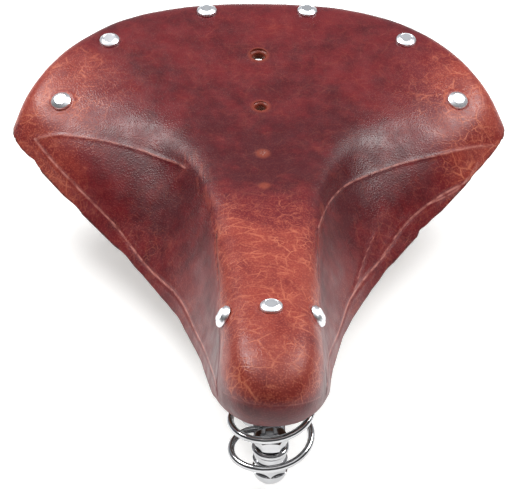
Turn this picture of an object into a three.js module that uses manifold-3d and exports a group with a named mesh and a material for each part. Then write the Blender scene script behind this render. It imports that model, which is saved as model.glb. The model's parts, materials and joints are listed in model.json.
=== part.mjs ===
// Sprung leather bicycle saddle with its seatpost clip.
// Millimetres, +Z up, -Y towards the nose, +X to the rider's left.
// The origin is the centre of the seatpost, at the height where the post ends below the rails.
import * as THREE from 'three';
import { mergeVertices } from 'three/addons/utils/BufferGeometryUtils.js';
import Module from 'manifold-3d';

const wasm = await Module();
wasm.setup();

// ---- driving dimensions ----

const GAP = 0.3; // left between pieces that touch
const PAST = 1; // how far a cutter runs past the face that it opens
const FAR = 60; // how far a cutter reaches that goes right through
const SIDES = [['left', 1], ['right', -1]];

// The leather's outer surface is a smooth net. Each row crosses the saddle from the centre line
// to the side edge; the rows run from the nose's lower edge, over the top, to the rear lower edge.
const LEATHER_NET = [
  [
    [0, -145, 31.5], [6, -144, 31], [11.5, -141, 30], [15.5, -136, 28.8],
    [19, -131, 27.5], [21.5, -125, 26], [23.5, -117, 23.5],
  ],
  [
    [0, -149, 42], [7, -148, 41.5], [14, -144, 40], [19, -137, 37],
    [22, -129, 33.5], [23.5, -120, 28], [25, -111, 20],
  ],
  [
    [0, -142, 54], [7.5, -141, 53.5], [15, -137, 51], [20.5, -129, 46],
    [22.5, -120, 38], [24.5, -112, 28], [26, -103, 17],
  ],
  [
    [0, -124, 58.5], [8, -123.5, 58], [15.5, -121, 56], [21.5, -116, 49],
    [22, -110, 38.5], [24.5, -103, 26], [27.5, -93, 14.5],
  ],
  [
    [0, -98, 58], [8, -98, 57.5], [15.5, -97, 56], [22, -95, 49],
    [22, -91, 38.5], [26, -85, 24], [30.5, -74, 10.5],
  ],
  [
    [0, -66, 54.5], [8, -66, 54], [16, -66, 53], [22, -65, 47],
    [23, -62, 38], [29.5, -56, 21], [37, -49, 7.5],
  ],
  [
    [0, -32, 50.5], [9, -32, 50.2], [17, -32, 49.5], [23.5, -32, 45],
    [25, -30, 38], [36, -25, 20], [50, -20, 6],
  ],
  [
    [0, 4, 48.5], [11, 4, 48.5], [21, 5, 48.5], [28, 6, 45.5],
    [30, 5, 38.5], [46, 5, 21], [66, 7, 7],
  ],
  [
    [0, 32, 48.5], [15, 33, 49], [29, 35, 49], [39, 36, 46],
    [43, 31, 38.5], [63, 21, 24], [84, 28, 12],
  ],
  [
    [0, 56, 50], [21, 57, 50.5], [41, 57, 50.5], [55, 52, 47],
    [61, 43, 39.5], [81, 37, 30], [101, 46, 20],
  ],
  [
    [0, 78, 52], [26, 79, 52.5], [50, 77, 52], [70, 66, 48.5],
    [80, 54, 41.5], [97, 53, 35], [113, 60, 26],
  ],
  [
    [0, 100, 55], [29, 100, 55], [57, 97, 54], [80, 84, 51],
    [95, 68, 45], [107, 64, 38.5], [118, 67, 29],
  ],
  [
    [0, 122, 58.5], [31, 120, 58], [60, 113, 57], [85, 99, 54],
    [102, 80, 48.5], [111, 71, 41], [119, 70, 29.5],
  ],
  [
    [0, 142, 61], [34, 140, 60.5], [66, 132, 59], [91, 112, 56],
    [107, 89, 50.5], [114, 78, 42.5], [119.5, 73, 30.5],
  ],
  [
    [0, 150, 56], [35, 148, 55.5], [68, 139, 54], [95, 118, 51],
    [110, 94, 45.5], [115.5, 84, 38.5], [119, 77, 31],
  ],
  [
    [0, 148, 46], [35, 146, 45.5], [67, 136, 44], [94, 116, 41],
    [108, 94, 36.5], [114, 85, 33.5], [118, 80, 30.5],
  ],
];
const LEATHER_THICKNESS = 4.5;
const LEATHER_STEPS = { along: 27, across: 22 };
// Air holes on the centre line: distance along the saddle and radius.
const AIR_HOLES = [{ y: 101.5, radius: 3.2 }, { y: 63.5, radius: 2.7 }];

// Pressed plates under the leather, as stretches of the same net (0 to 1 along, -1 to 1 across).
const PLATE_THICKNESS = 2.2;
const CANTLE = {
  middleFrom: 0.765, wingFrom: 0.7, to: 0.955, across: 0.76, wingInner: 0.43, wingOuter: 0.64,
  rimDepth: LEATHER_THICKNESS + 0.8, frontDepth: 8,
};
const NOSE_CAP = { from: 0.05, to: 0.29, across: 0.6, depth: LEATHER_THICKNESS + 0.6 };

const RIVET = { headRadius: 5, headHeight: 1.9, shankRadius: 2.5, tailRadius: 3.4, tailHeight: 1.4 };
const TAIL_GAP = 0.9; // between a rivet's flat tail and the curved plate
// Rivet places on the net: [along, across].
const REAR_RIVETS = [[0.855, 0.126], [0.827, 0.405], [0.757, 0.657]];
const NOSE_TOP_RIVET = [0.265, 0];
const NOSE_SIDE_RIVET = [0.264, 0.465];

// Seatpost band and rail clamp
const POST_BORE_RADIUS = 11.3;
const BAND = {
  radius: 15.2, top: -2, bottom: -24, earInner: 5.4, earOuter: 8.9, earStart: 6, earEnd: 35, slotStart: 5,
};
const PIVOT = { y: 25, z: -13 }; // cross bolt, the tilt axis
const CHEEK = {
  inner: BAND.earOuter + GAP, plate: 14, outer: 29, top: 6.5, halfWidth: 12.5, corner: 5, discRadius: 11.5,
};
const CROSS_BOLT = { halfLength: 41, washerRadius: 9, washerHeight: 1.6 };
const RAIL = { radius: 3.5, x: 22, z: 1 };
const M8 = { radius: 4, flats: 13, nutHeight: 6.5, headHeight: 5.3 };
const M6 = { radius: 3, flats: 10, nutHeight: 3.2, headHeight: 4.2 };
const HOLE_CLEARANCE = 0.4;
const THREAD_END = 0.5; // how far a bolt's end stands out of its nut

// Lower frame
const BRIDGE = { x: 57, y: 88, top: -10, thickness: 3, radius: 13 };
const FRONT = {
  y: -121, plateTop: -3, plateThickness: 3, endRadius: 7, rootHalfWidth: 13,
  rootY: -79, shoulderY: -91, neckY: -103,
};
const NOSE_BOLT = { radius: 3, flats: 13, headHeight: 5.3 }; // its wide head clamps the spring's eye
const BUSH = { radius: 4.4, height: 3.4 };
const DOME_WASHER = { radius: 7.6, height: 1.4 };
const DOME_NUT = { radius: 7.8, hexHeight: 4.5, flats: 13.5, holeDepth: 7.5, threadDepth: 6 };
const REAR_NUT_HEIGHT = 5.5;

// Upper frame
const UPPER_BRIDGE = { bottom: 36.5, thickness: 3, radius: 11 };
const YOKE = { bottom: 31.3, thickness: 3, endRadius: 9, halfWidth: 12, rearY: -80, shoulderY: -104 };
const TAB = { front: -84, thickness: 3, halfWidth: 8.5, top: 47.5 };
const PIN = { z: 41.5, radius: 3.4, headRadius: 5.2, headHeight: 3, headY: -135, rearY: -66 };
const TENSION_NUT = { flats: 11, length: 6.5 };
const WIRE_RADIUS = 3;

// Springs: the wire starts as an eye, spirals out flat, climbs as a coil and ends the same way.
const FRONT_SPRING = {
  x: 0, y: FRONT.y, wire: 1.6, coilRadius: 17.5, eyeRadius: 6.65,
  bottom: FRONT.plateTop + GAP + 1.6, top: YOKE.bottom - GAP - 1.6, riseTurns: 2.12, startAngle: -258,
};
const REAR_SPRING = {
  x: BRIDGE.x, y: BRIDGE.y, wire: 2.5, coilRadius: 20, eyeRadius: 7.6,
  bottom: BRIDGE.top + GAP + 2.5, top: UPPER_BRIDGE.bottom - GAP - 2.5, riseTurns: 3.6, startAngle: 0,
};
const EYE_TURNS = 0.7;
const SPIRAL_TURNS = 0.6;
const FLAT_TURNS = 0.45; // the part of each spiral that stays flat

// ---- materials ----

const leather = () => new THREE.MeshStandardMaterial({ color: 0x7a2e26, roughness: 0.45, metalness: 0 });
const chrome = () => new THREE.MeshStandardMaterial({ color: 0xd8dadd, roughness: 0.12, metalness: 1 });
const plated = () => new THREE.MeshStandardMaterial({ color: 0xa9adb2, roughness: 0.35, metalness: 1 });

// ---- solids ----

const saddle = new THREE.Group();

function addPart(name, geometry, material) {
  geometry.computeVertexNormals();
  const mesh = new THREE.Mesh(geometry, material);
  mesh.name = name;
  saddle.add(mesh);
  return mesh;
}

function toSolid(geometry) {
  const bare = geometry.clone();
  bare.deleteAttribute('normal');
  bare.deleteAttribute('uv');
  const welded = mergeVertices(bare, 1e-4);
  return new wasm.Manifold(new wasm.Mesh({
    numProp: 3,
    vertProperties: new Float32Array(welded.attributes.position.array),
    triVerts: new Uint32Array(welded.index.array),
  }));
}

function toGeometry(solid) {
  const mesh = solid.getMesh();
  const geometry = new THREE.BufferGeometry();
  geometry.setAttribute('position', new THREE.BufferAttribute(mesh.vertProperties, 3));
  geometry.setIndex(new THREE.BufferAttribute(mesh.triVerts, 1));
  return geometry;
}

function cut(geometry, cutters) {
  return toGeometry(cutters.reduce((solid, cutter) => solid.subtract(toSolid(cutter)), toSolid(geometry)));
}

function join(geometries) {
  return toGeometry(geometries.map(toSolid).reduce((a, b) => a.add(b)));
}

// A cylinder or, with 6 sides, a hexagon prism about the Z axis.
function rod(radius, bottom, top, sides = 20) {
  const geometry = new THREE.CylinderGeometry(radius, radius, top - bottom, sides);
  return geometry.rotateX(Math.PI / 2).translate(0, 0, (bottom + top) / 2);
}

const hexRadius = (flats) => flats / Math.sqrt(3);

function box(x0, x1, y0, y1, z0, z1) {
  const geometry = new THREE.BoxGeometry(x1 - x0, y1 - y0, z1 - z0);
  return geometry.translate((x0 + x1) / 2, (y0 + y1) / 2, (z0 + z1) / 2);
}

// A plate with its outline in XY, from z = bottom up.
function plate(shape, bottom, thickness, curveSegments = 6) {
  const options = { depth: thickness, bevelEnabled: false, curveSegments };
  return new THREE.ExtrudeGeometry(shape, options).translate(0, 0, bottom);
}

function tube(curve, radius, steps, sides) {
  const section = new THREE.Shape().absarc(0, 0, radius, 0, 2 * Math.PI);
  const options = { steps, curveSegments: sides / 2, bevelEnabled: false, extrudePath: curve };
  return new THREE.ExtrudeGeometry(section, options);
}

// Turns a piece made about +Z to stand on a point, along a direction.
function standOn(geometry, point, direction) {
  const turn = new THREE.Quaternion().setFromUnitVectors(new THREE.Vector3(0, 0, 1), direction);
  return geometry.applyQuaternion(turn).translate(point.x, point.y, point.z);
}

function hexBolt(size, shankLength) {
  const head = rod(hexRadius(size.flats), -size.headHeight, 0, 6);
  return join([head, rod(size.radius, -size.headHeight / 2, shankLength, 12)]);
}

function hexNut(flats, height, boreRadius) {
  return cut(rod(hexRadius(flats), 0, height, 6), [rod(boreRadius, -PAST, height + PAST, 12)]);
}

function washer(outerRadius, boreRadius, height) {
  return cut(rod(outerRadius, 0, height, 16), [rod(boreRadius, -PAST, height + PAST, 12)]);
}

// ---- leather surface ----

const LAST_ROW = LEATHER_NET.length - 1;
const LAST_COLUMN = LEATHER_NET[0].length - 1;

// Net point with the saddle's mirror symmetry at column 0 and straight run-off past the edges.
function netPoint(row, column) {
  if (row < 0 || row > LAST_ROW) {
    const edge = row < 0 ? 0 : LAST_ROW;
    const near = netPoint(edge, column);
    return near.clone().multiplyScalar(2).sub(netPoint(2 * edge - row, column));
  }
  if (column > LAST_COLUMN) {
    return netPoint(row, LAST_COLUMN).multiplyScalar(2).sub(netPoint(row, 2 * LAST_COLUMN - column));
  }
  const [x, y, z] = LEATHER_NET[row][Math.abs(column)];
  return new THREE.Vector3(column < 0 ? -x : x, y, z);
}

function splineWeights(t) {
  const s = 1 - t;
  return [s ** 3 / 6, (3 * t ** 3 - 6 * t ** 2 + 4) / 6, (3 * s ** 3 - 6 * s ** 2 + 4) / 6, t ** 3 / 6];
}

// Uniform cubic spline surface; along runs 0 to 1 from nose to rear, across -1 to 1.
function leatherPoint(along, across) {
  const v = along * LAST_ROW;
  const u = Math.abs(across) * LAST_COLUMN;
  const row = Math.min(Math.floor(v), LAST_ROW - 1);
  const column = Math.min(Math.floor(u), LAST_COLUMN - 1);
  const rowWeights = splineWeights(v - row);
  const columnWeights = splineWeights(u - column);
  const point = new THREE.Vector3();
  rowWeights.forEach((rowWeight, i) => {
    columnWeights.forEach((columnWeight, j) => {
      point.addScaledVector(netPoint(row - 1 + i, column - 1 + j), rowWeight * columnWeight);
    });
  });
  if (across < 0) point.x = -point.x;
  return point;
}

// Outward normal. At the edges it is taken a little inside, where the surface's corners are regular.
function leatherNormal(along, across) {
  const step = 1e-3;
  const inset = 0.03;
  const v = THREE.MathUtils.clamp(along, inset, 1 - inset);
  const u = THREE.MathUtils.clamp(across, -1 + inset, 1 - inset);
  const acrossways = leatherPoint(v, u + step).sub(leatherPoint(v, u - step));
  const lengthways = leatherPoint(v + step, u).sub(leatherPoint(v - step, u));
  return acrossways.cross(lengthways).normalize();
}

// A stretch of the surface as a closed shell. startAt gives where it starts along the saddle at a
// place across it, and depth how far its outer face lies below the leather's outer surface, by the
// share of the way from its start to its end.
function shellPatch({ startAt, end, acrossLimit, steps, depth, thickness }) {
  const positions = [];
  const rowSize = steps.across + 1;
  const layerSize = rowSize * (steps.along + 1);
  for (const extra of [0, thickness]) {
    for (let i = 0; i <= steps.along; i++) {
      const share = i / steps.along;
      for (let j = 0; j <= steps.across; j++) {
        const across = acrossLimit * ((2 * j) / steps.across - 1);
        const along = startAt(across) + (end - startAt(across)) * share;
        const point = leatherPoint(along, across)
          .addScaledVector(leatherNormal(along, across), -depth(share) - extra);
        positions.push(point.x, point.y, point.z);
      }
    }
  }
  const faces = [];
  const quad = (a, b, c, d) => faces.push(a, b, c, a, c, d);
  for (let i = 0; i < steps.along; i++) {
    for (let j = 0; j < steps.across; j++) {
      const a = i * rowSize + j;
      quad(a, a + 1, a + rowSize + 1, a + rowSize);
      const b = a + layerSize;
      quad(b, b + rowSize, b + rowSize + 1, b + 1);
    }
  }
  for (let j = 0; j < steps.across; j++) {
    const rear = steps.along * rowSize + j;
    quad(j, j + layerSize, j + layerSize + 1, j + 1);
    quad(rear, rear + 1, rear + 1 + layerSize, rear + layerSize);
  }
  for (let i = 0; i < steps.along; i++) {
    const right = i * rowSize;
    const left = right + steps.across;
    quad(right, right + rowSize, right + rowSize + layerSize, right + layerSize);
    quad(left, left + layerSize, left + rowSize + layerSize, left + rowSize);
  }
  const geometry = new THREE.BufferGeometry();
  geometry.setAttribute('position', new THREE.Float32BufferAttribute(positions, 3));
  geometry.setIndex(faces);
  return geometry;
}

// ---- rivets ----

// The cantle plate lies against the leather along the rim and drops away from it towards the front.
const cantleDepth = (share) => CANTLE.rimDepth + (CANTLE.frontDepth - CANTLE.rimDepth) * (1 - share) ** 2;

// The plate's front edge sweeps forward in its two wings.
const cantleStart = (across) => THREE.MathUtils.lerp(CANTLE.middleFrom, CANTLE.wingFrom,
  THREE.MathUtils.smoothstep(Math.abs(across), CANTLE.wingInner, CANTLE.wingOuter));

// Every rivet: name, place on the leather and depth of its tail below the surface.
function rivetList() {
  const list = [];
  REAR_RIVETS.forEach(([along, across], i) => {
    for (const [side, sign] of SIDES) {
      const share = (along - cantleStart(across)) / (CANTLE.to - cantleStart(across));
      const grip = cantleDepth(share) + PLATE_THICKNESS + TAIL_GAP;
      list.push({ name: `rear_rivet_${i + 1}_${side}`, along, across: across * sign, grip });
    }
  });
  const noseGrip = NOSE_CAP.depth + PLATE_THICKNESS + TAIL_GAP;
  const [topAlong, topAcross] = NOSE_TOP_RIVET;
  list.push({ name: 'nose_rivet_top', along: topAlong, across: topAcross, grip: noseGrip });
  for (const [side, sign] of SIDES) {
    const [along, across] = NOSE_SIDE_RIVET;
    list.push({ name: `nose_rivet_${side}`, along, across: across * sign, grip: noseGrip + 1 });
  }
  return list;
}

function rivetBody({ grip }) {
  const { headRadius, headHeight, shankRadius, tailRadius, tailHeight } = RIVET;
  const flat = 0.55 * headRadius;
  const tail = -grip;
  const profile = [
    [0, tail - tailHeight], [tailRadius * 0.8, tail - tailHeight], [tailRadius, tail],
    [shankRadius, tail], [shankRadius, GAP], [headRadius, GAP],
    [headRadius * 0.85, GAP + headHeight * 0.7], [flat, GAP + headHeight], [0, GAP + headHeight],
  ];
  return new THREE.LatheGeometry(profile.map(([r, z]) => new THREE.Vector2(r, z)), 10).rotateX(Math.PI / 2);
}

// Room for a rivet in the leather and the plate: shank hole and head seat.
function rivetRoom({ grip }) {
  const seatHeight = 6;
  const head = rod(RIVET.headRadius + GAP, 0, seatHeight, 10);
  const shank = rod(RIVET.shankRadius + GAP, -grip - 8, 4, 8);
  return [head, shank];
}

function placeRivet(geometry, { along, across }) {
  return standOn(geometry, leatherPoint(along, across), leatherNormal(along, across));
}

// ---- leather, plates and rivets ----

function buildTop() {
  const rivets = rivetList();
  const rooms = rivets.flatMap((rivet) => rivetRoom(rivet).map((room) => placeRivet(room, rivet)));
  const holes = AIR_HOLES.map(({ y, radius }) => rod(radius, FAR / 2, FAR + 20, 12).translate(0, y, 0));
  const full = shellPatch({
    startAt: () => 0, end: 1, acrossLimit: 1, steps: LEATHER_STEPS,
    depth: () => 0, thickness: LEATHER_THICKNESS,
  });
  addPart('leather_top', cut(full, [...rooms, ...holes]), leather());

  const shanks = rivets.map((rivet) => placeRivet(rivetRoom(rivet)[1], rivet));
  const cantle = shellPatch({
    startAt: cantleStart, end: CANTLE.to, acrossLimit: CANTLE.across, steps: { along: 6, across: 20 },
    depth: cantleDepth, thickness: PLATE_THICKNESS,
  });
  addPart('cantle_plate', cut(cantle, shanks), plated());

  const cap = shellPatch({
    startAt: () => NOSE_CAP.from, end: NOSE_CAP.to, acrossLimit: NOSE_CAP.across,
    steps: { along: 7, across: 12 },
    depth: () => NOSE_CAP.depth, thickness: PLATE_THICKNESS,
  });
  addPart('nose_piece', cut(cap, shanks), plated());

  for (const rivet of rivets) {
    addPart(rivet.name, placeRivet(rivetBody(rivet), rivet), chrome());
  }
}

// ---- springs ----

class SpringCurve extends THREE.Curve {
  constructor(spec, mirror) {
    super();
    this.spec = spec;
    this.mirror = mirror;
    this.turns = spec.riseTurns + 2 * (EYE_TURNS + FLAT_TURNS);
  }

  getPoint(t) {
    const { spec, turns, mirror } = this;
    const turn = t * turns;
    const fromEnd = Math.min(turn, turns - turn);
    const spread = THREE.MathUtils.smoothstep(fromEnd, EYE_TURNS, EYE_TURNS + SPIRAL_TURNS);
    const radius = spec.eyeRadius + (spec.coilRadius - spec.eyeRadius) * spread;
    const angle = THREE.MathUtils.degToRad(spec.startAngle) + 2 * Math.PI * turn;
    const climb = easedRise(turn - EYE_TURNS - FLAT_TURNS, spec.riseTurns);
    const z = spec.bottom + (spec.top - spec.bottom) * climb;
    const x = spec.x + radius * Math.cos(angle);
    return new THREE.Vector3(mirror * x, spec.y + radius * Math.sin(angle), z);
  }
}

// 0 to 1 over a number of turns, at a steady rate with a quarter turn of easing at each end.
function easedRise(turn, turns) {
  const ease = 0.25;
  const steady = turns - ease;
  const eased = (x) => ease * (x ** 3 - x ** 4 / 2);
  if (turn <= 0) return 0;
  if (turn >= turns) return 1;
  if (turn < ease) return eased(turn / ease) / steady;
  if (turn > turns - ease) return 1 - eased((turns - turn) / ease) / steady;
  return (turn - ease / 2) / steady;
}

function spring(spec, mirror = 1) {
  const curve = new SpringCurve(spec, mirror);
  return tube(curve, spec.wire, Math.round(curve.turns * 11), 6);
}

// ---- seatpost band and rail clamp ----

// A piece made about +Z, laid along the cross bolt: its z becomes x.
const alongBolt = (geometry) => geometry.rotateY(Math.PI / 2).translate(0, PIVOT.y, PIVOT.z);

function buildBand() {
  const { radius, top, bottom, earInner, earOuter, earStart, earEnd, slotStart } = BAND;
  const ears = SIDES.map(([, sign]) => {
    const [near, far] = [sign * earInner, sign * earOuter].sort((a, b) => a - b);
    return box(near, far, earStart, earEnd, bottom, top);
  });
  const body = join([rod(radius, bottom, top, 28), ...ears]);
  const bore = rod(POST_BORE_RADIUS, bottom - PAST, top + PAST, 28);
  const slot = box(-earInner, earInner, slotStart, earEnd + PAST, bottom - PAST, top + PAST);
  const boltHole = alongBolt(rod(M8.radius + HOLE_CLEARANCE, -FAR, FAR, 16));
  addPart('post_band', cut(body, [bore, slot, boltHole]), chrome());
}

// Outline of a cheek in the YZ plane: a tall rounded plate about the cross bolt.
function cheekPlate(x0, x1) {
  const { top, halfWidth, corner } = CHEEK;
  const shape = new THREE.Shape();
  shape.moveTo(PIVOT.y + halfWidth, PIVOT.z);
  shape.lineTo(PIVOT.y + halfWidth, top - corner);
  shape.absarc(PIVOT.y + halfWidth - corner, top - corner, corner, 0, Math.PI / 2, false);
  shape.absarc(PIVOT.y - halfWidth + corner, top - corner, corner, Math.PI / 2, Math.PI, false);
  shape.absarc(PIVOT.y, PIVOT.z, halfWidth, Math.PI, 2 * Math.PI, false);
  const geometry = plate(shape, x0, x1 - x0, 8);
  // The shape's x, y and depth become y, z and x.
  const turn = new THREE.Matrix4().makeBasis(
    new THREE.Vector3(0, 1, 0), new THREE.Vector3(0, 0, 1), new THREE.Vector3(1, 0, 0));
  return geometry.applyMatrix4(turn);
}

function buildClamp() {
  const hole = () => alongBolt(rod(M8.radius + HOLE_CLEARANCE, -FAR, FAR, 12));
  const grooveRod = rod(RAIL.radius + GAP, -FAR, FAR, 12).rotateX(Math.PI / 2);
  const groove = () => grooveRod.clone().translate(RAIL.x, 0, RAIL.z);
  const bore = M8.radius + HOLE_CLEARANCE;
  const washerX = CHEEK.outer + GAP;
  const nutX = washerX + CROSS_BOLT.washerHeight + GAP;
  for (const [side, sign] of SIDES) {
    const onSide = (geometry) => (sign > 0 ? geometry : mirrorX(geometry));
    const disc = alongBolt(rod(CHEEK.discRadius, CHEEK.inner, CHEEK.plate + PAST, 18));
    const inner = cut(join([disc, cheekPlate(CHEEK.plate, RAIL.x - GAP)]), [hole(), groove()]);
    const outer = cut(cheekPlate(RAIL.x + GAP, CHEEK.outer), [hole(), groove()]);
    addPart(`inner_cheek_${side}`, onSide(inner), plated());
    addPart(`outer_cheek_${side}`, onSide(outer), plated());
    const ring = washer(CROSS_BOLT.washerRadius, bore, CROSS_BOLT.washerHeight).translate(0, 0, washerX);
    addPart(`cross_bolt_washer_${side}`, onSide(alongBolt(ring)), plated());
    const nut = hexNut(M8.flats, M8.nutHeight, bore).translate(0, 0, nutX);
    addPart(`cross_bolt_nut_${side}`, onSide(alongBolt(nut)), chrome());
  }
  const { halfLength } = CROSS_BOLT;
  addPart('cross_bolt', alongBolt(rod(M8.radius, -halfLength, halfLength, 16)), plated());
}

// Mirrors a piece in the saddle's middle plane and keeps its faces pointing out.
function mirrorX(geometry) {
  const mirrored = geometry.clone().scale(-1, 1, 1);
  const index = mirrored.index.array;
  for (let i = 0; i < index.length; i += 3) {
    [index[i], index[i + 1]] = [index[i + 1], index[i]];
  }
  return mirrored;
}

// ---- lower frame ----

const stadium = (x, y, radius) => {
  const shape = new THREE.Shape();
  shape.absarc(x, y, radius, -Math.PI / 2, Math.PI / 2, false);
  shape.absarc(-x, y, radius, Math.PI / 2, 1.5 * Math.PI, false);
  return shape;
};

// A wide plate with rounded ends over both rear springs, with a bolt hole at each end.
function bridge(radius, bottom, thickness) {
  const hole = rod(M8.radius + HOLE_CLEARANCE, bottom - PAST, bottom + thickness + PAST, 16);
  const holes = SIDES.map(([, sign]) => hole.clone().translate(sign * BRIDGE.x, BRIDGE.y, 0));
  return cut(plate(stadium(BRIDGE.x, BRIDGE.y, radius), bottom, thickness), holes);
}

// A bent bar on one side, through points given for the left side.
function bentBar(points, sign, radius, steps) {
  const path = points.map(([x, y, z]) => new THREE.Vector3(sign * x, y, z));
  return tube(new THREE.CatmullRomCurve3(path, false, 'centripetal'), radius, steps, 8);
}

// Rails: straight through the clamp, drawn in under the front bracket and down under the bridge.
function buildRails() {
  const frontZ = FRONT.plateTop - FRONT.plateThickness - GAP - RAIL.radius;
  const rearZ = BRIDGE.top - BRIDGE.thickness - 2 * GAP - RAIL.radius;
  const path = [
    [8, -94, frontZ], [8.4, -78, frontZ], [13.5, -60, -6], [20, -42, RAIL.z - 0.8],
    [RAIL.x, -30, RAIL.z], [RAIL.x, -10, RAIL.z], [RAIL.x, 24, RAIL.z], [RAIL.x, 47, RAIL.z],
    [RAIL.x, 55, RAIL.z - 0.4], [23.2, 62, -4.5], [25, 68, -13], [26, 75, rearZ], [26, 98, rearZ],
  ];
  for (const [side, sign] of SIDES) {
    addPart(`rail_${side}`, bentBar(path, sign, RAIL.radius, 28), chrome());
  }
}

// Front bracket: a tapered plate on the rails' front ends, rounded about the spring bolt.
function buildFrontBracket() {
  const { y, plateTop, plateThickness, endRadius, rootHalfWidth, rootY, shoulderY, neckY } = FRONT;
  const shape = new THREE.Shape();
  shape.moveTo(-rootHalfWidth, rootY);
  shape.lineTo(-rootHalfWidth, shoulderY);
  shape.lineTo(-endRadius, neckY);
  shape.absarc(0, y, endRadius, Math.PI, 2 * Math.PI, false);
  shape.lineTo(endRadius, neckY);
  shape.lineTo(rootHalfWidth, shoulderY);
  shape.lineTo(rootHalfWidth, rootY);
  const bottom = plateTop - plateThickness;
  const hole = rod(M6.radius + HOLE_CLEARANCE, bottom - PAST, plateTop + PAST, 14).translate(0, y, 0);
  addPart('front_bracket', cut(plate(shape, bottom, plateThickness, 14), [hole]), chrome());
}

function buildLowerFrame() {
  addPart('rear_bridge', bridge(BRIDGE.radius, BRIDGE.top - BRIDGE.thickness, BRIDGE.thickness), chrome());
  buildRails();
  buildFrontBracket();
}

function buildSprings() {
  addPart('front_spring', spring(FRONT_SPRING), chrome());
  for (const [side, sign] of SIDES) {
    addPart(`rear_spring_${side}`, spring(REAR_SPRING, sign), chrome());
  }
}

// Nose: a bolt down through bush, spring eye and bracket into a dome nut, and at the spring's top
// end a bolt up through the eye and the yoke into a thin nut.
function buildNoseFasteners() {
  const add = (name, geometry, z, material) => addPart(name, geometry.translate(0, FRONT.y, z), material);
  const bore = M6.radius + HOLE_CLEARANCE;
  const bushBottom = FRONT.plateTop + GAP;
  const washerBottom = FRONT.plateTop - FRONT.plateThickness - GAP - DOME_WASHER.height;
  const domeTop = washerBottom - GAP;
  const boltTop = bushBottom + BUSH.height + GAP;
  const bolt = hexBolt(NOSE_BOLT, boltTop - domeTop + DOME_NUT.threadDepth).rotateX(Math.PI);
  add('front_spring_bush', washer(BUSH.radius, bore, BUSH.height), bushBottom, chrome());
  add('dome_nut_washer', washer(DOME_WASHER.radius, bore, DOME_WASHER.height), washerBottom, chrome());
  add('front_spring_bolt', bolt, boltTop, chrome());
  add('dome_nut', domeNut(), domeTop, chrome());

  const eyeBottom = FRONT_SPRING.top - FRONT_SPRING.wire - GAP;
  const nutBottom = YOKE.bottom + YOKE.thickness + GAP;
  add('front_spring_top_bolt', hexBolt(M6, nutBottom + M6.nutHeight - eyeBottom), eyeBottom, chrome());
  add('front_spring_top_nut', hexNut(M6.flats, M6.nutHeight, bore), nutBottom, plated());
}

// Rear springs: a bolt and nut through each eye and its bridge.
function buildRearFasteners() {
  const lowHead = BRIDGE.top - BRIDGE.thickness - GAP;
  const lowNut = REAR_SPRING.bottom + REAR_SPRING.wire + GAP;
  const topNut = REAR_SPRING.top - REAR_SPRING.wire - GAP - REAR_NUT_HEIGHT;
  const topHead = UPPER_BRIDGE.bottom + UPPER_BRIDGE.thickness + GAP;
  for (const [side, sign] of SIDES) {
    const add = (name, geometry, z, material) => (
      addPart(`rear_spring_${name}_${side}`, geometry.translate(sign * BRIDGE.x, BRIDGE.y, z), material)
    );
    const nut = () => hexNut(M8.flats, REAR_NUT_HEIGHT, M8.radius + HOLE_CLEARANCE);
    add('bottom_bolt', hexBolt(M8, lowNut + REAR_NUT_HEIGHT + THREAD_END - lowHead), lowHead, chrome());
    add('bottom_nut', nut(), lowNut, plated());
    add('top_nut', nut(), topNut, plated());
    add('top_bolt', hexBolt(M8, topHead - topNut + THREAD_END).rotateX(Math.PI), topHead, plated());
  }
}

// Dome nut hanging from z = 0: a short hexagon with a round cup and a blind threaded hole.
function domeNut() {
  const { radius, hexHeight, flats, holeDepth } = DOME_NUT;
  const overlap = 0.6; // of the cup into the hexagon
  const arcSteps = 5;
  const profile = [];
  for (let i = 0; i <= arcSteps; i++) {
    const angle = (i / arcSteps) * (Math.PI / 2);
    profile.push(new THREE.Vector2(radius * Math.sin(angle), -hexHeight - radius * Math.cos(angle)));
  }
  profile.push(new THREE.Vector2(radius, -hexHeight + overlap), new THREE.Vector2(0, -hexHeight + overlap));
  const dome = new THREE.LatheGeometry(profile, 16).rotateX(Math.PI / 2);
  const body = join([rod(hexRadius(flats), -hexHeight, 0, 6), dome]);
  return cut(body, [rod(M6.radius + HOLE_CLEARANCE, -holeDepth, PAST, 14)]);
}

// ---- upper frame ----

function buildUpperWires() {
  const frontZ = YOKE.bottom - GAP - WIRE_RADIUS;
  const rearZ = UPPER_BRIDGE.bottom - GAP - WIRE_RADIUS;
  const path = [
    [8, -96, frontZ], [8.5, -80, frontZ], [11, -40, 28.8], [13.5, 0, 29.6], [18, 36, 31],
    [23, 66, rearZ], [25, 84, rearZ], [26, 102, rearZ], [26.4, 112, 37.5], [26.5, 121, 44.5],
  ];
  for (const [side, sign] of SIDES) {
    addPart(`upper_wire_${side}`, bentBar(path, sign, WIRE_RADIUS, 22), plated());
  }
}

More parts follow.
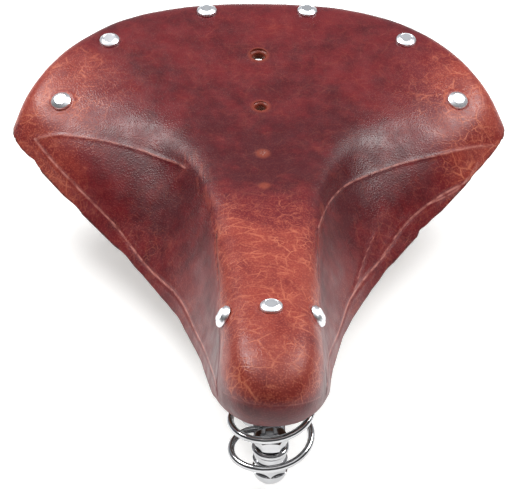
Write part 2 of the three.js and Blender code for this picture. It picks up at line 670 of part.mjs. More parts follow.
// Yoke: a plate over the front spring with an upright tab that the tension pin pulls on.
function buildYoke() {
  const { endRadius, halfWidth, rearY, shoulderY, bottom, thickness } = YOKE;
  const shape = new THREE.Shape();
  shape.moveTo(-halfWidth, rearY);
  shape.lineTo(-halfWidth, shoulderY);
  shape.lineTo(-endRadius, FRONT.y);
  shape.absarc(0, FRONT.y, endRadius, Math.PI, 2 * Math.PI, false);
  shape.lineTo(halfWidth, shoulderY);
  shape.lineTo(halfWidth, rearY);
  const tabRear = TAB.front + TAB.thickness;
  const tab = box(-TAB.halfWidth, TAB.halfWidth, TAB.front, tabRear, bottom + PAST, TAB.top);
  const body = join([plate(shape, bottom, thickness, 14), tab]);
  const boltHole = rod(M6.radius + HOLE_CLEARANCE, bottom - PAST, bottom + thickness + PAST, 14);
  const pinHole = alongPin(rod(PIN.radius + HOLE_CLEARANCE, TAB.front - PAST, tabRear + PAST, 16));
  addPart('nose_yoke', cut(body, [boltHole.translate(0, FRONT.y, 0), pinHole]), plated());
}

function buildUpperFrame() {
  const { radius, bottom, thickness } = UPPER_BRIDGE;
  addPart('upper_bridge', bridge(radius, bottom, thickness), plated());
  buildUpperWires();
  buildYoke();
}

// A piece made about +Z, laid along the tension pin: its z becomes y.
const alongPin = (geometry) => geometry.rotateX(-Math.PI / 2).translate(0, 0, PIN.z);

function buildTensioner() {
  const head = rod(PIN.headRadius, PIN.headY, PIN.headY + PIN.headHeight, 16);
  const shank = rod(PIN.radius, PIN.headY + PAST, PIN.rearY, 16);
  addPart('tension_pin', alongPin(join([head, shank])), plated());
  const nut = hexNut(TENSION_NUT.flats, TENSION_NUT.length, PIN.radius + HOLE_CLEARANCE);
  addPart('tension_nut', alongPin(nut.translate(0, 0, TAB.front - GAP - TENSION_NUT.length)), chrome());
}

buildTop();
buildUpperFrame();
buildTensioner();
buildSprings();
buildNoseFasteners();
buildRearFasteners();
buildLowerFrame();
buildClamp();
buildBand();

export default saddle;
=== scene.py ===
"""Looks of a sprung leather bicycle saddle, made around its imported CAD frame.

Shapes are worked out in millimetres in the frame's own axes (+Z up, -Y towards the nose,
+X to the rider's left) and turned into metres as each piece is made.
"""
import json
import math

import bmesh
import bpy
import numpy as np
from mathutils import Matrix, Vector, kdtree


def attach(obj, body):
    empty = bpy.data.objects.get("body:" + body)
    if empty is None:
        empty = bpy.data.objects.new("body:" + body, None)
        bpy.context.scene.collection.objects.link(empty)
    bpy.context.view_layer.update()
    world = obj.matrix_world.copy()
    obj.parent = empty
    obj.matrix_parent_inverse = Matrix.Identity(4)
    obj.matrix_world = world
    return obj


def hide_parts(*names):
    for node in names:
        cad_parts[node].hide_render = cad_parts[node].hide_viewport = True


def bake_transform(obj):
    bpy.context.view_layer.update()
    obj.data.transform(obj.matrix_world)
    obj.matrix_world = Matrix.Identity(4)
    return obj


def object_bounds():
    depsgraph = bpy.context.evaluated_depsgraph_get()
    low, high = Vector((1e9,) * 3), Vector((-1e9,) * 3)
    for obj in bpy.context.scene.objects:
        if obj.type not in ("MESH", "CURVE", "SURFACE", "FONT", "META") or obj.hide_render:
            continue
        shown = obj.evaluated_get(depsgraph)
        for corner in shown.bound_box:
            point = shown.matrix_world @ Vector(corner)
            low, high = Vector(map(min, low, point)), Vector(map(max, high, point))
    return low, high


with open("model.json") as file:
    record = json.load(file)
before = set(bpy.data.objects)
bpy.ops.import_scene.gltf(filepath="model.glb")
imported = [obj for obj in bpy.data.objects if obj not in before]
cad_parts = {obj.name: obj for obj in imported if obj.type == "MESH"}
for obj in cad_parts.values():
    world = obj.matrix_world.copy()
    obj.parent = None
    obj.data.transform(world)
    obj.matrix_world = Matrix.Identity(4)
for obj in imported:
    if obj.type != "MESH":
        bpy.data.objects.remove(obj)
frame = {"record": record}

CAD_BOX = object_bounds()
MM = 0.001
SIDES = (("left", 1), ("right", -1))
GAP = 0.3  # left between pieces that touch

RECORD = frame["record"]
BODIES = {node: body for body, nodes in RECORD["behaviour"]["bodies"].items() for node in nodes}

# ---- dimensions shared with the CAD source ----

# The leather's outer surface is a smooth net. Each row crosses the saddle from the centre line
# to the side edge; the rows run from the nose's lower edge, over the top, to the rear lower edge.
LEATHER_NET = np.array([
    [(0, -145, 31.5), (6, -144, 31), (11.5, -141, 30), (15.5, -136, 28.8),
     (19, -131, 27.5), (21.5, -125, 26), (23.5, -117, 23.5)],
    [(0, -149, 42), (7, -148, 41.5), (14, -144, 40), (19, -137, 37),
     (22, -129, 33.5), (23.5, -120, 28), (25, -111, 20)],
    [(0, -142, 54), (7.5, -141, 53.5), (15, -137, 51), (20.5, -129, 46),
     (22.5, -120, 38), (24.5, -112, 28), (26, -103, 17)],
    [(0, -124, 58.5), (8, -123.5, 58), (15.5, -121, 56), (21.5, -116, 49),
     (22, -110, 38.5), (24.5, -103, 26), (27.5, -93, 14.5)],
    [(0, -98, 58), (8, -98, 57.5), (15.5, -97, 56), (22, -95, 49),
     (22, -91, 38.5), (26, -85, 24), (30.5, -74, 10.5)],
    [(0, -66, 54.5), (8, -66, 54), (16, -66, 53), (22, -65, 47),
     (23, -62, 38), (29.5, -56, 21), (37, -49, 7.5)],
    [(0, -32, 50.5), (9, -32, 50.2), (17, -32, 49.5), (23.5, -32, 45),
     (25, -30, 38), (36, -25, 20), (50, -20, 6)],
    [(0, 4, 48.5), (11, 4, 48.5), (21, 5, 48.5), (28, 6, 45.5),
     (30, 5, 38.5), (46, 5, 21), (66, 7, 7)],
    [(0, 32, 48.5), (15, 33, 49), (29, 35, 49), (39, 36, 46),
     (43, 31, 38.5), (63, 21, 24), (84, 28, 12)],
    [(0, 56, 50), (21, 57, 50.5), (41, 57, 50.5), (55, 52, 47),
     (61, 43, 39.5), (81, 37, 30), (101, 46, 20)],
    [(0, 78, 52), (26, 79, 52.5), (50, 77, 52), (70, 66, 48.5),
     (80, 54, 41.5), (97, 53, 35), (113, 60, 26)],
    [(0, 100, 55), (29, 100, 55), (57, 97, 54), (80, 84, 51),
     (95, 68, 45), (107, 64, 38.5), (118, 67, 29)],
    [(0, 122, 58.5), (31, 120, 58), (60, 113, 57), (85, 99, 54),
     (102, 80, 48.5), (111, 71, 41), (119, 70, 29.5)],
    [(0, 142, 61), (34, 140, 60.5), (66, 132, 59), (91, 112, 56),
     (107, 89, 50.5), (114, 78, 42.5), (119.5, 73, 30.5)],
    [(0, 150, 56), (35, 148, 55.5), (68, 139, 54), (95, 118, 51),
     (110, 94, 45.5), (115.5, 84, 38.5), (119, 77, 31)],
    [(0, 148, 46), (35, 146, 45.5), (67, 136, 44), (94, 116, 41),
     (108, 94, 36.5), (114, 85, 33.5), (118, 80, 30.5)],
])
LEATHER_THICKNESS = 4.5
AIR_HOLES = ((101.5, 3.2), (63.5, 2.7))  # distance along the centre line, radius
CLOSED_HOLES = ((27.6, 1.5), (1.5, 0.8))  # a third hole and a nick that have closed up

PLATE_THICKNESS = 2.2
CANTLE = dict(middle_from=0.765, wing_from=0.7, to=0.955, across=0.76, wing_inner=0.43, wing_outer=0.64,
              rim_depth=LEATHER_THICKNESS + 0.8, front_depth=8)
NOSE_CAP = dict(start=0.05, end=0.29, across=0.6, depth=LEATHER_THICKNESS + 0.6)

RIVET = dict(head=5, head_height=1.9, shank=2.5, tail=3.4, tail_height=1.4)
TAIL_GAP = 0.9
REAR_RIVETS = ((0.855, 0.126), (0.827, 0.405), (0.757, 0.657))  # along, across
NOSE_TOP_RIVET = (0.265, 0)
NOSE_SIDE_RIVET = (0.264, 0.465)

BORE_RADIUS = 11.3
BAND = dict(radius=15.2, top=-2, bottom=-24, ear_inner=5.4, ear_outer=8.9, ear_end=35)
PIVOT = (25, -13)  # y and z of the cross bolt
CHEEK = dict(inner=9.2, plate=14, outer=29, top=6.5, half_width=12.5, disc=11.5)
RAIL = dict(radius=3.5, x=22, z=1)
M8 = dict(radius=4, flats=13, nut=6.5, head=5.3, pitch=1.25)
M6 = dict(radius=3, flats=10, nut=3.2, head=4.2, pitch=1.0)
NOSE_BOLT = dict(radius=3, flats=13, head=5.3, pitch=1.0)
BRIDGE = dict(x=57, y=88, top=-10, thickness=3, radius=13)
FRONT = dict(y=-121, top=-3, thickness=3, end=7, root=13, root_y=-79)
UPPER_BRIDGE = dict(bottom=36.5, thickness=3, radius=11)
YOKE = dict(bottom=31.3, thickness=3, end=9, half_width=12, rear_y=-80, shoulder_y=-104)
TAB = dict(front=-84, thickness=3, half_width=8.5, top=47.5)
PIN = dict(z=41.5, radius=3.4, head=5.2, head_height=3, head_y=-135, rear_y=-66)
WIRE_RADIUS = 3
FRONT_SPRING = dict(x=0, y=-121, wire=1.6, coil=17.5, eye=6.65, bottom=-1.1, top=29.4, rise=2.12,
                    start=-258)
REAR_SPRING = dict(x=57, y=88, wire=2.5, coil=20, eye=7.6, bottom=-7.2, top=33.7, rise=3.6, start=0)
BUSH = dict(radius=4.4, height=3.4)
DOME_WASHER = dict(radius=7.6, height=1.4)
DOME_NUT = dict(radius=7.8, hex_height=4.5, flats=13.5, thread_depth=6)
CROSS_BOLT = dict(half_length=41, thread_from=28)
BOLT_TIP = 0.7
EYE_TURNS = 0.7
SPIRAL_TURNS = 0.6
FLAT_TURNS = 0.45

# ---- shapes: (vertices, faces) in millimetres ----


def merged(*shapes):
    """Several shapes as one."""
    vertices, faces = [], []
    for points, polygons in shapes:
        start = sum(len(v) for v in vertices)
        vertices.append(np.asarray(points, float))
        faces += [tuple(i + start for i in polygon) for polygon in polygons]
    return np.concatenate(vertices), faces


def placed(shape, origin=(0, 0, 0), axis=(0, 0, 1)):
    """A shape made about +Z, turned to an axis and moved to its place."""
    turn = Vector((0, 0, 1)).rotation_difference(Vector(axis)).to_matrix()
    return np.asarray(shape[0]) @ np.array(turn).T + np.array(origin, float), shape[1]


def mirrored(shape):
    """A shape mirrored in the saddle's middle plane."""
    return np.asarray(shape[0]) * (-1, 1, 1), [polygon[::-1] for polygon in shape[1]]


def on_side(shape, sign):
    """The shape itself on the left side, or its mirror image on the right."""
    return shape if sign > 0 else mirrored(shape)


def turned(rings, segments=48, hollow=False):
    """A body of rings about +Z, from the bottom up, each (radius, height); either may vary with angle.

    A hollow body's last ring joins its first. Otherwise the ends are closed by flat caps.
    """
    angle = np.arange(segments) * 2 * math.pi / segments
    points = []
    for radius, height in rings:
        r = np.broadcast_to(radius, segments)
        z = np.broadcast_to(height, segments)
        points.append(np.stack([r * np.cos(angle), r * np.sin(angle), z], 1))
    count = len(rings)
    faces = []
    for i in range(count if hollow else count - 1):
        low, high = i * segments, (i + 1) % count * segments
        for j in range(segments):
            k = (j + 1) % segments
            faces.append((low + j, low + k, high + k, high + j))
    if not hollow:
        faces.append(tuple(range(segments))[::-1])
        faces.append(tuple(range((count - 1) * segments, count * segments)))
    return np.concatenate(points), faces


def hexagon(flats, segments=48):
    """Radius of a hexagon at each of a ring's angles."""
    angle = np.arange(segments) * 2 * math.pi / segments
    return flats / 2 / np.cos((angle + math.pi / 6) % (math.pi / 3) - math.pi / 6)


def hex_rings(flats, bottom, top, chamfer_bottom=True):
    """Rings of a hexagon whose corners are chamfered by a 30 degree cone."""
    outline = hexagon(flats)
    cone = flats * 0.475
    drop = np.maximum(outline - cone, 0) * math.tan(math.radians(30))
    low = [(cone, bottom), (outline, bottom + drop)] if chamfer_bottom else [(outline, bottom)]
    return low + [(outline, top - drop), (cone, top)]


def hex_nut(flats, height, bore):
    lip = 0.5
    inside = [(bore, height - lip), (bore, lip)]
    outside = hex_rings(flats, 0, height)
    return turned([(bore + lip, 0), *outside, (bore + lip, height), *inside], hollow=True)


def washer(outer, bore, height, edge=0.25):
    return turned([(bore, 0), (outer - edge, 0), (outer, edge), (outer, height - edge),
                   (outer - edge, height), (bore, height)], hollow=True)


def thread_rings(radius, pitch, bottom, top, segments=48):
    """Rings of a screw thread whose outer radius is given."""
    depth = 0.54 * pitch
    steps = max(2, round((top - bottom) / pitch * 6))
    share = np.arange(segments) / segments
    rings = []
    for height in np.linspace(bottom, top, steps + 1):
        wave = np.abs(((height / pitch - share) % 1) * 2 - 1)
        fade = min(1, (height - bottom) / pitch, (top - height) / pitch)
        rings.append((radius - depth * (1 - wave) * max(fade, 0), height))
    return rings


def bolt(size, length, thread_from):
    """A hexagon bolt: the head below z = 0, the shank above it, threaded from a height to its end."""
    shank = [(size["radius"], 0), (size["radius"], thread_from)]
    thread = thread_rings(size["radius"], size["pitch"], thread_from, length - BOLT_TIP)
    end = [(size["radius"] - BOLT_TIP, length)]
    head = hex_rings(size["flats"], -size["head"], 0)
    return turned([*head, *shank, *thread, *end])


def catmull_rom(points, steps):
    """Points along a centripetal Catmull-Rom curve through the given ones, as the CAD draws it."""
    p = np.asarray(points, float)
    p = np.concatenate([[2 * p[0] - p[1]], p, [2 * p[-1] - p[-2]]])
    path = []
    for i in range(1, len(p) - 2):
        four = p[i - 1:i + 3]
        t = np.concatenate([[0], np.cumsum(np.linalg.norm(np.diff(four, axis=0), axis=1) ** 0.5)])
        for x in np.linspace(t[1], t[2], steps, endpoint=False):
            a = [((t[k + 1] - x) * four[k] + (x - t[k]) * four[k + 1]) / (t[k + 1] - t[k])
                 for k in range(3)]
            b = [((t[k + 2] - x) * a[k] + (x - t[k]) * a[k + 1]) / (t[k + 2] - t[k]) for k in range(2)]
            path.append(((t[2] - x) * b[0] + (x - t[1]) * b[1]) / (t[2] - t[1]))
    path.append(p[-2])
    return np.array(path)


def swept(path, radius, sides=20, round_end=0.4):
    """A round bar along a path, with slightly rounded ends."""
    tangent = np.gradient(path, axis=0)
    tangent /= np.linalg.norm(tangent, axis=1, keepdims=True)
    normal = np.cross(tangent[0], (0.0, 0.0, 1.0))
    if np.linalg.norm(normal) < 1e-6:
        normal = np.array((1.0, 0.0, 0.0))
    angle = np.arange(sides) * 2 * math.pi / sides
    rings, previous = [], normal / np.linalg.norm(normal)
    last = len(path) - 1
    for i, (point, along) in enumerate(zip(path, tangent)):
        previous = previous - along * (previous @ along)
        previous /= np.linalg.norm(previous)
        side = np.cross(along, previous)
        ring = np.outer(np.cos(angle), previous) + np.outer(np.sin(angle), side)
        if i == 0:
            rings.append(point + ring * (radius - round_end))
            rings.append(point + ring * radius + along * round_end)
        elif i == last:
            rings.append(point + ring * radius - along * round_end)
            rings.append(point + ring * (radius - round_end))
        else:
            rings.append(point + ring * radius)
    faces = []
    for i in range(len(rings) - 1):
        for j in range(sides):
            k = (j + 1) % sides
            faces.append((i * sides + j, i * sides + k, (i + 1) * sides + k, (i + 1) * sides + j))
    faces.append(tuple(range(sides))[::-1])
    faces.append(tuple(range((len(rings) - 1) * sides, len(rings) * sides)))
    return np.concatenate(rings), faces


def read_shape(thing):
    """The evaluated mesh of an object as a shape; the object is then removed."""
    evaluated = thing.evaluated_get(bpy.context.evaluated_depsgraph_get())
    mesh = bpy.data.meshes.new_from_object(evaluated)
    shape = np.array([v.co for v in mesh.vertices], float), [tuple(p.vertices) for p in mesh.polygons]
    bpy.data.meshes.remove(mesh)
    bpy.data.objects.remove(thing)
    return shape


def arc(x, y, radius, start, end, steps=16):
    """Points of an arc in XY; the angles are in degrees."""
    angles = np.radians(np.linspace(start, end, steps + 1))
    return [(x + radius * math.cos(a), y + radius * math.sin(a)) for a in angles]


def circle(x, y, radius, steps=40):
    return arc(x, y, radius, 0, -360, steps)[:-1]


def cut_plate(outline, holes, bottom, thickness, bevel=0.4):
    """A plate with a counter-clockwise outline in XY, clockwise holes and rounded edges."""
    curve = bpy.data.curves.new("outline", "CURVE")
    curve.dimensions = "2D"
    curve.fill_mode = "BOTH"
    curve.extrude = thickness / 2 - bevel
    curve.bevel_depth = bevel
    curve.bevel_resolution = 2
    curve.offset = -bevel
    for loop in (outline, *holes):
        spline = curve.splines.new("POLY")
        spline.points.add(len(loop) - 1)
        for point, (x, y) in zip(spline.points, loop):
            point.co = (x, y, 0, 1)
        spline.use_cyclic_u = True
    thing = bpy.data.objects.new("outline", curve)
    bpy.context.scene.collection.objects.link(thing)
    points, faces = read_shape(thing)
    bpy.data.curves.remove(curve)
    return points + (0, 0, bottom + thickness / 2), faces


def new_mesh(name, shape, scale=1.0):
    mesh = bpy.data.meshes.new(name)
    mesh.from_pydata((np.asarray(shape[0]) * scale).tolist(), [], shape[1])
    mesh.validate()
    return mesh


def welded(shape, distance=1e-4):
    """A shape with its doubled points joined and its faces turned outwards."""
    mesh = new_mesh("welded", shape)
    work = bmesh.new()
    work.from_mesh(mesh)
    bmesh.ops.remove_doubles(work, verts=work.verts, dist=distance)
    bmesh.ops.recalc_face_normals(work, faces=work.faces)
    work.to_mesh(mesh)
    work.free()
    clean = np.array([v.co for v in mesh.vertices], float), [tuple(p.vertices) for p in mesh.polygons]
    bpy.data.meshes.remove(mesh)
    return clean


def carved(shape, *cutters):
    """A closed shape with the cutters taken out of it."""
    body = bpy.data.objects.new("body", new_mesh("body", welded(shape)))
    bpy.context.scene.collection.objects.link(body)
    tools = []
    for cutter in cutters:
        tool = bpy.data.objects.new("cutter", new_mesh("cutter", welded(cutter)))
        bpy.context.scene.collection.objects.link(tool)
        cut = body.modifiers.new("cut", "BOOLEAN")
        cut.operation = "DIFFERENCE"
        cut.solver = "EXACT"
        cut.object = tool
        tools.append(tool)
    result = read_shape(body)
    for tool in tools:
        bpy.data.objects.remove(tool)
    return result


def add_piece(name, shape, material, sharp_angle=32):
    """A new visible piece, in metres."""
    mesh = new_mesh(name, shape, MM)
    mesh.shade_smooth()
    mesh.set_sharp_from_angle(angle=math.radians(sharp_angle))
    mesh.materials.append(material)
    piece = bpy.data.objects.new(name, mesh)
    bpy.context.scene.collection.objects.link(piece)
    return piece


def stand_in(node, shape, material, rides=True):
    """A finely made piece that stands for a CAD node: the node is hidden and, if the piece rides, it takes
    the node's body.
    """
    piece = add_piece(f"{node}_fine", shape, material)
    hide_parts(node)
    if rides:
        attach(piece, BODIES[node])
    return piece


# ---- leather surface ----

LAST_ROW = LEATHER_NET.shape[0] - 1
LAST_COLUMN = LEATHER_NET.shape[1] - 1


def extended_net():
    """The net with its mirror column and a straight run-off past the other edges."""
    mirror = LEATHER_NET[:, 1:2] * (-1, 1, 1)
    side = 2 * LEATHER_NET[:, -1:] - LEATHER_NET[:, -2:-1]
    wide = np.concatenate([mirror, LEATHER_NET, side], 1)
    return np.concatenate([2 * wide[:1] - wide[1:2], wide, 2 * wide[-1:] - wide[-2:-1]], 0)


NET = extended_net()


def spline_weights(t):
    """The four weights of a uniform cubic B-spline, at t from 0 to 1."""
    s = 1 - t
    return np.stack([s ** 3, 3 * t ** 3 - 6 * t ** 2 + 4, 3 * s ** 3 - 6 * s ** 2 + 4, t ** 3]) / 6


def leather_point(along, across):
    """Uniform cubic spline surface; along runs 0 to 1 from nose to rear, across -1 to 1."""
    along, across = np.broadcast_arrays(np.asarray(along, float), np.asarray(across, float))
    v = along * LAST_ROW
    u = np.abs(across) * LAST_COLUMN
    row = np.clip(np.floor(v).astype(int), 0, LAST_ROW - 1)
    column = np.clip(np.floor(u).astype(int), 0, LAST_COLUMN - 1)
    row_weights = spline_weights(v - row)
    column_weights = spline_weights(u - column)
    point = np.zeros(v.shape + (3,))
    for i in range(4):
        for j in range(4):
            point += NET[row + i, column + j] * (row_weights[i] * column_weights[j])[..., None]
    point[..., 0] *= np.where(across < 0, -1, 1)
    return point


def leather_normal(along, across):
    """Outward normal, taken a little inside the edges as the CAD takes it."""
    step, inset = 1e-3, 0.03
    v = np.clip(along, inset, 1 - inset)
    u = np.clip(across, -1 + inset, 1 - inset)
    acrossways = leather_point(v, u + step) - leather_point(v, u - step)
    lengthways = leather_point(v + step, u) - leather_point(v - step, u)
    normal = np.cross(acrossways, lengthways)
    return normal / np.linalg.norm(normal, axis=-1, keepdims=True)


def smoothstep(low, high, value):
    """A smooth step from 0 at one value to 1 at the other."""
    t = np.clip((value - low) / (high - low), 0, 1)
    return t * t * (3 - 2 * t)


def bell(distance, width):
    """A smooth hump: 1 at distance 0, falling off over the width."""
    return np.exp(-(distance / width) ** 2)


def waves(points, size, seed):
    """Smooth pseudo-random field from -1 to 1 with features of about a size, in millimetres."""
    random = np.random.default_rng(seed)
    total = np.zeros(points.shape[:-1])
    count = 12
    for _ in range(count):
        direction = random.normal(size=3)
        direction *= 2 * math.pi / (size * random.uniform(1.2, 2.8)) / np.linalg.norm(direction)
        total += np.sin(points @ direction + random.uniform(0, 2 * math.pi))
    return total / math.sqrt(count) / 1.5


# Lines on the leather, as (along, across) points that a smooth curve joins.
SHOULDER_CREASES = (
    ((0.71, -0.90), (0.69, -0.775), (0.645, -0.683), (0.587, -0.633), (0.553, -0.615), (0.51, -0.55)),
    ((0.70, 0.97), (0.66, 0.85), (0.60, 0.745), (0.525, 0.685), (0.455, 0.60), (0.41, 0.49)),
)
BORDER_LINES = (
    ((0.71, -0.90), (0.62, -0.923), (0.52, -0.937), (0.43, -0.962), (0.37, -0.925), (0.31, -0.922),
     (0.24, -0.883), (0.11, -0.78)),
    ((0.60, 0.995), (0.557, 0.942), (0.51, 0.93), (0.44, 0.95), (0.365, 0.922), (0.31, 0.933),
     (0.25, 0.87), (0.11, 0.78)),
)
SKIRT_FOLDS = (
    ((0.64, 0.97), (0.585, 0.985), (0.56, 0.958), (0.545, 0.93)),
    ((0.47, 0.87), (0.41, 0.90), (0.37, 0.925)),
)
NOSE_CREASES = (
    ((0.40, -0.47), (0.365, -0.52), (0.30, -0.55), (0.22, -0.63), (0.165, -0.69), (0.07, -0.78)),
    ((0.40, 0.48), (0.365, 0.53), (0.30, 0.56), (0.22, 0.64), (0.165, 0.70), (0.07, 0.79)),
)
WAIST_RIDGES = (
    ((0.52, -0.47), (0.47, -0.455), (0.42, -0.445), (0.37, -0.51)),
    ((0.44, 0.52), (0.40, 0.48), (0.36, 0.50)),
)
SKIRT_EDGES = tuple(tuple((along, side) for along in (0, 0.25, 0.5, 0.75, 1)) for side in (-1, 1))
LOW_NOSE_LINE = (((0.088, -0.6), (0.082, -0.3), (0.079, 0), (0.077, 0.3), (0.074, 0.6)),)


def line_distance(points, lines):
    """Distance in millimetres from each point to the nearest of the lines."""
    samples = []
    for line in lines:
        path = catmull_rom([(a, c, 0) for a, c in line], 60)
        samples.append(leather_point(path[:, 0], path[:, 1]))
    samples = np.concatenate(samples)
    tree = kdtree.KDTree(len(samples))
    for i, sample in enumerate(samples):
        tree.insert(sample, i)
    tree.balance()
    flat = points.reshape(-1, 3)
    return np.array([tree.find(p)[2] for p in flat]).reshape(points.shape[:-1])


def rivet_places():
    """Every rivet: node name, place on the leather and depth of its tail below the surface."""
    places = []
    for i, (along, across) in enumerate(REAR_RIVETS):
        start = cantle_start(across)
        share = (along - start) / (CANTLE["to"] - start)
        grip = cantle_depth(share) + PLATE_THICKNESS + TAIL_GAP
        for side, sign in SIDES:
            places.append((f"rear_rivet_{i + 1}_{side}", along, across * sign, grip))
    grip = NOSE_CAP["depth"] + PLATE_THICKNESS + TAIL_GAP
    places.append(("nose_rivet_top", *NOSE_TOP_RIVET, grip))
    for side, sign in SIDES:
        places.append((f"nose_rivet_{side}", NOSE_SIDE_RIVET[0], NOSE_SIDE_RIVET[1] * sign, grip + 1))
    return places


def cantle_depth(share):
    """The cantle plate lies against the leather at the rim and drops away towards the front."""
    return CANTLE["rim_depth"] + (CANTLE["front_depth"] - CANTLE["rim_depth"]) * (1 - share) ** 2


def cantle_start(across):
    """The plate's front edge sweeps forward in its two wings."""
    wing = smoothstep(CANTLE["wing_inner"], CANTLE["wing_outer"], np.abs(across))
    return CANTLE["middle_from"] + (CANTLE["wing_from"] - CANTLE["middle_from"]) * wing


def leather_relief(points, lines):
    """How far the leather stands out from the smooth net, in millimetres."""
    relief = 0.22 * waves(points, 22, seed=3) + 0.07 * waves(points, 7, seed=4)
    relief += 0.28 * bell(lines["shoulder"], 0.9)
    relief -= 0.25 * bell(lines["border"], 0.8) - 0.15 * bell(lines["border"] - 1.6, 1.0)
    relief += 0.25 * bell(lines["fold"], 0.9)
    relief -= 0.45 * bell(lines["nose"], 1.0)
    relief += 0.12 * bell(lines["waist"], 2.2)
    relief -= 0.1 * bell(lines["low_nose"], 1.2)
    for _, along, across, _ in rivet_places():
        distance = np.linalg.norm(points - leather_point(along, across), axis=-1)
        relief -= 0.35 * bell(distance, 7.5)
        relief += 0.25 * bell(distance - RIVET["head"] - 1.0, 0.9)
    for y, radius in AIR_HOLES:
        distance = np.hypot(points[..., 0], points[..., 1] - y)
        relief += 0.35 * bell(distance - radius - 1.6, 1.2)
    for y, radius in CLOSED_HOLES:
        distance = np.hypot(points[..., 0], points[..., 1] - y)
        relief += 0.15 * bell(distance - radius - 0.9, 0.8) - 0.8 * radius * bell(distance, radius * 0.75)
    return relief


def rubbed_highlight_shade_share(points):
    """How far the leather goes towards lighter orange, 0 to 1: worn through on the nose, rear corners and
    rim, a painted highlight on the far flanks low down, lighter towards the bottom of the skirt, and held
    back on the lower nose as painted shade.
    """
    x, y, z = points[..., 0], points[..., 1], points[..., 2]
    nose = smoothstep(22, -55, y) * smoothstep(36, 47, z) * smoothstep(30, 17, np.abs(x)) * 0.85
    # painted shade: the downward-facing lower nose is held darker
    low_nose = smoothstep(-134, -147, y) * smoothstep(52, 38, z)
    corner = bell(np.hypot(np.abs(x) - 108, y - 78), 34)
    corner = corner * np.where(x < 0, 1.0, 0.85) * smoothstep(22, 40, z)
    rim = 0.3 * smoothstep(110, 126, np.hypot(x * 0.98, (y - 30) * 0.9)) * smoothstep(44, 52, z)
    # painted highlight: the far flanks low down are lightened where light glances off them
    far_flank_highlight = 0.65 * smoothstep(72, 100, np.abs(x)) * smoothstep(46, 36, z)
    # lighter towards the bottom of the skirt
    skirt = 0.22 * smoothstep(34, 14, z)
    wear_highlight_shade = np.maximum.reduce([nose - 0.4 * low_nose, corner, rim, far_flank_highlight, skirt])
    return np.clip(wear_highlight_shade, 0, 1)


def seat_dark_flank_shade_share(points):
    """Darker in the middle of the seat, and painted shade in the hollows of the flanks."""
    x, y, z = points[..., 0], points[..., 1], points[..., 2]
    # darker middle of the seat
    seat = bell(np.hypot(x / 1.45, (y - 26) / 1.05), 36)
    # painted shade: the hollows of the flanks are darkened where shade falls
    flank = bell(np.hypot(np.abs(x) - 48, (y - 14) / 1.3), 26) * smoothstep(46, 36, z)
    return np.clip(np.maximum(seat, flank * 0.9), 0, 1)


def skirt_nick(along, side):
    """How much the cut edge of the skirt is nicked and uneven, as a share of the across range."""
    uneven = 0.004 * (np.sin(along * 61 + side) + np.sin(along * 143 + 2 * side) * 0.6)
    nicks = (
        (0.655, -1, 0.012, 0.012), (0.63, -1, 0.006, 0.010),
        (0.505, 1, 0.012, 0.008), (0.35, -1, 0.006, 0.010),
    )
    for place, nick_side, depth, width in nicks:
        uneven = uneven + np.where(side == nick_side, depth, 0) * bell(along - place, width)
    return np.maximum(uneven, 0) * smoothstep(0, 0.1, along) * smoothstep(1, 0.85, along)


LEATHER_STEPS = (320, 256)
EDGE_STEPS = 5
EDGE_BULGE = 0.6


def edge_rows(rows, columns):
    """Indices of a grid's rim, once round, counter-clockwise seen from outside."""
    grid = np.arange(rows * columns).reshape(rows, columns)
    return np.concatenate([grid[0, :-1], grid[:-1, -1], grid[-1, :0:-1], grid[:0:-1, 0]])


def grid_faces(rows, columns, start=0, flipped=False):
    i, j = np.meshgrid(np.arange(rows - 1), np.arange(columns - 1), indexing="ij")
    a = (i * columns + j + start).ravel()
    corners = [a, a + 1, a + columns + 1, a + columns]
    if flipped:
        corners = corners[::-1]
    return list(map(tuple, np.stack(corners, 1).tolist()))


def shell(outer, inner, bulge, edge_steps):
    """A closed sheet between two grids of the same size, with rounded edges."""
    rows, columns = outer.shape[:2]
    rim = edge_rows(rows, columns)
    top = outer.reshape(-1, 3)[rim]
    bottom = inner.reshape(-1, 3)[rim]
    along_rim = np.roll(top, -1, 0) - np.roll(top, 1, 0)
    outward = np.cross(along_rim, top - bottom)
    outward /= np.linalg.norm(outward, axis=1, keepdims=True)
    count = len(rim)
    points = [outer.reshape(-1, 3), inner.reshape(-1, 3)]
    layers = [rim]
    for step in range(1, edge_steps):
        angle = math.pi * step / edge_steps
        share = (1 - math.cos(angle)) / 2
        layers.append(np.arange(count) + sum(len(p) for p in points))
        points.append(top + (bottom - top) * share + outward * bulge * math.sin(angle) ** 0.7)
    layers.append(rim + rows * columns)
    faces = grid_faces(rows, columns) + grid_faces(rows, columns, rows * columns, flipped=True)
    for low, high in zip(layers, layers[1:]):
        quads = np.stack([low, high, np.roll(high, -1), np.roll(low, -1)], 1)
        faces += list(map(tuple, quads.tolist()))
    return np.concatenate(points), faces


def set_attribute(mesh, name, values, kind="FLOAT"):
    attribute = mesh.attributes.new(name, kind, "POINT")
    key = "value" if kind == "FLOAT" else "vector"
    attribute.data.foreach_set(key, np.asarray(values, np.float32).ravel())


def hole_cutter(y, radius):
    """A trumpet-shaped cutter that leaves an air hole with a rounded rim."""
    height = centre_height(y)
    mouth = 0.5 * radius
    flare = [(radius + mouth * (1 - math.cos(a)), height - mouth + 0.1 + mouth * math.sin(a))
             for a in np.radians(np.linspace(0, 75, 6))]
    rings = [(radius, height - 12), *flare, (radius + mouth + 0.3, height + 4)]
    return placed(turned(rings, 40), (0, y, 0))


def centre_height(y):
    """Height of the leather's outer surface on the centre line."""
    along = np.linspace(0.2, 0.95, 600)
    line = leather_point(along, np.zeros_like(along))
    return float(np.interp(y, line[:, 1], line[:, 2]))


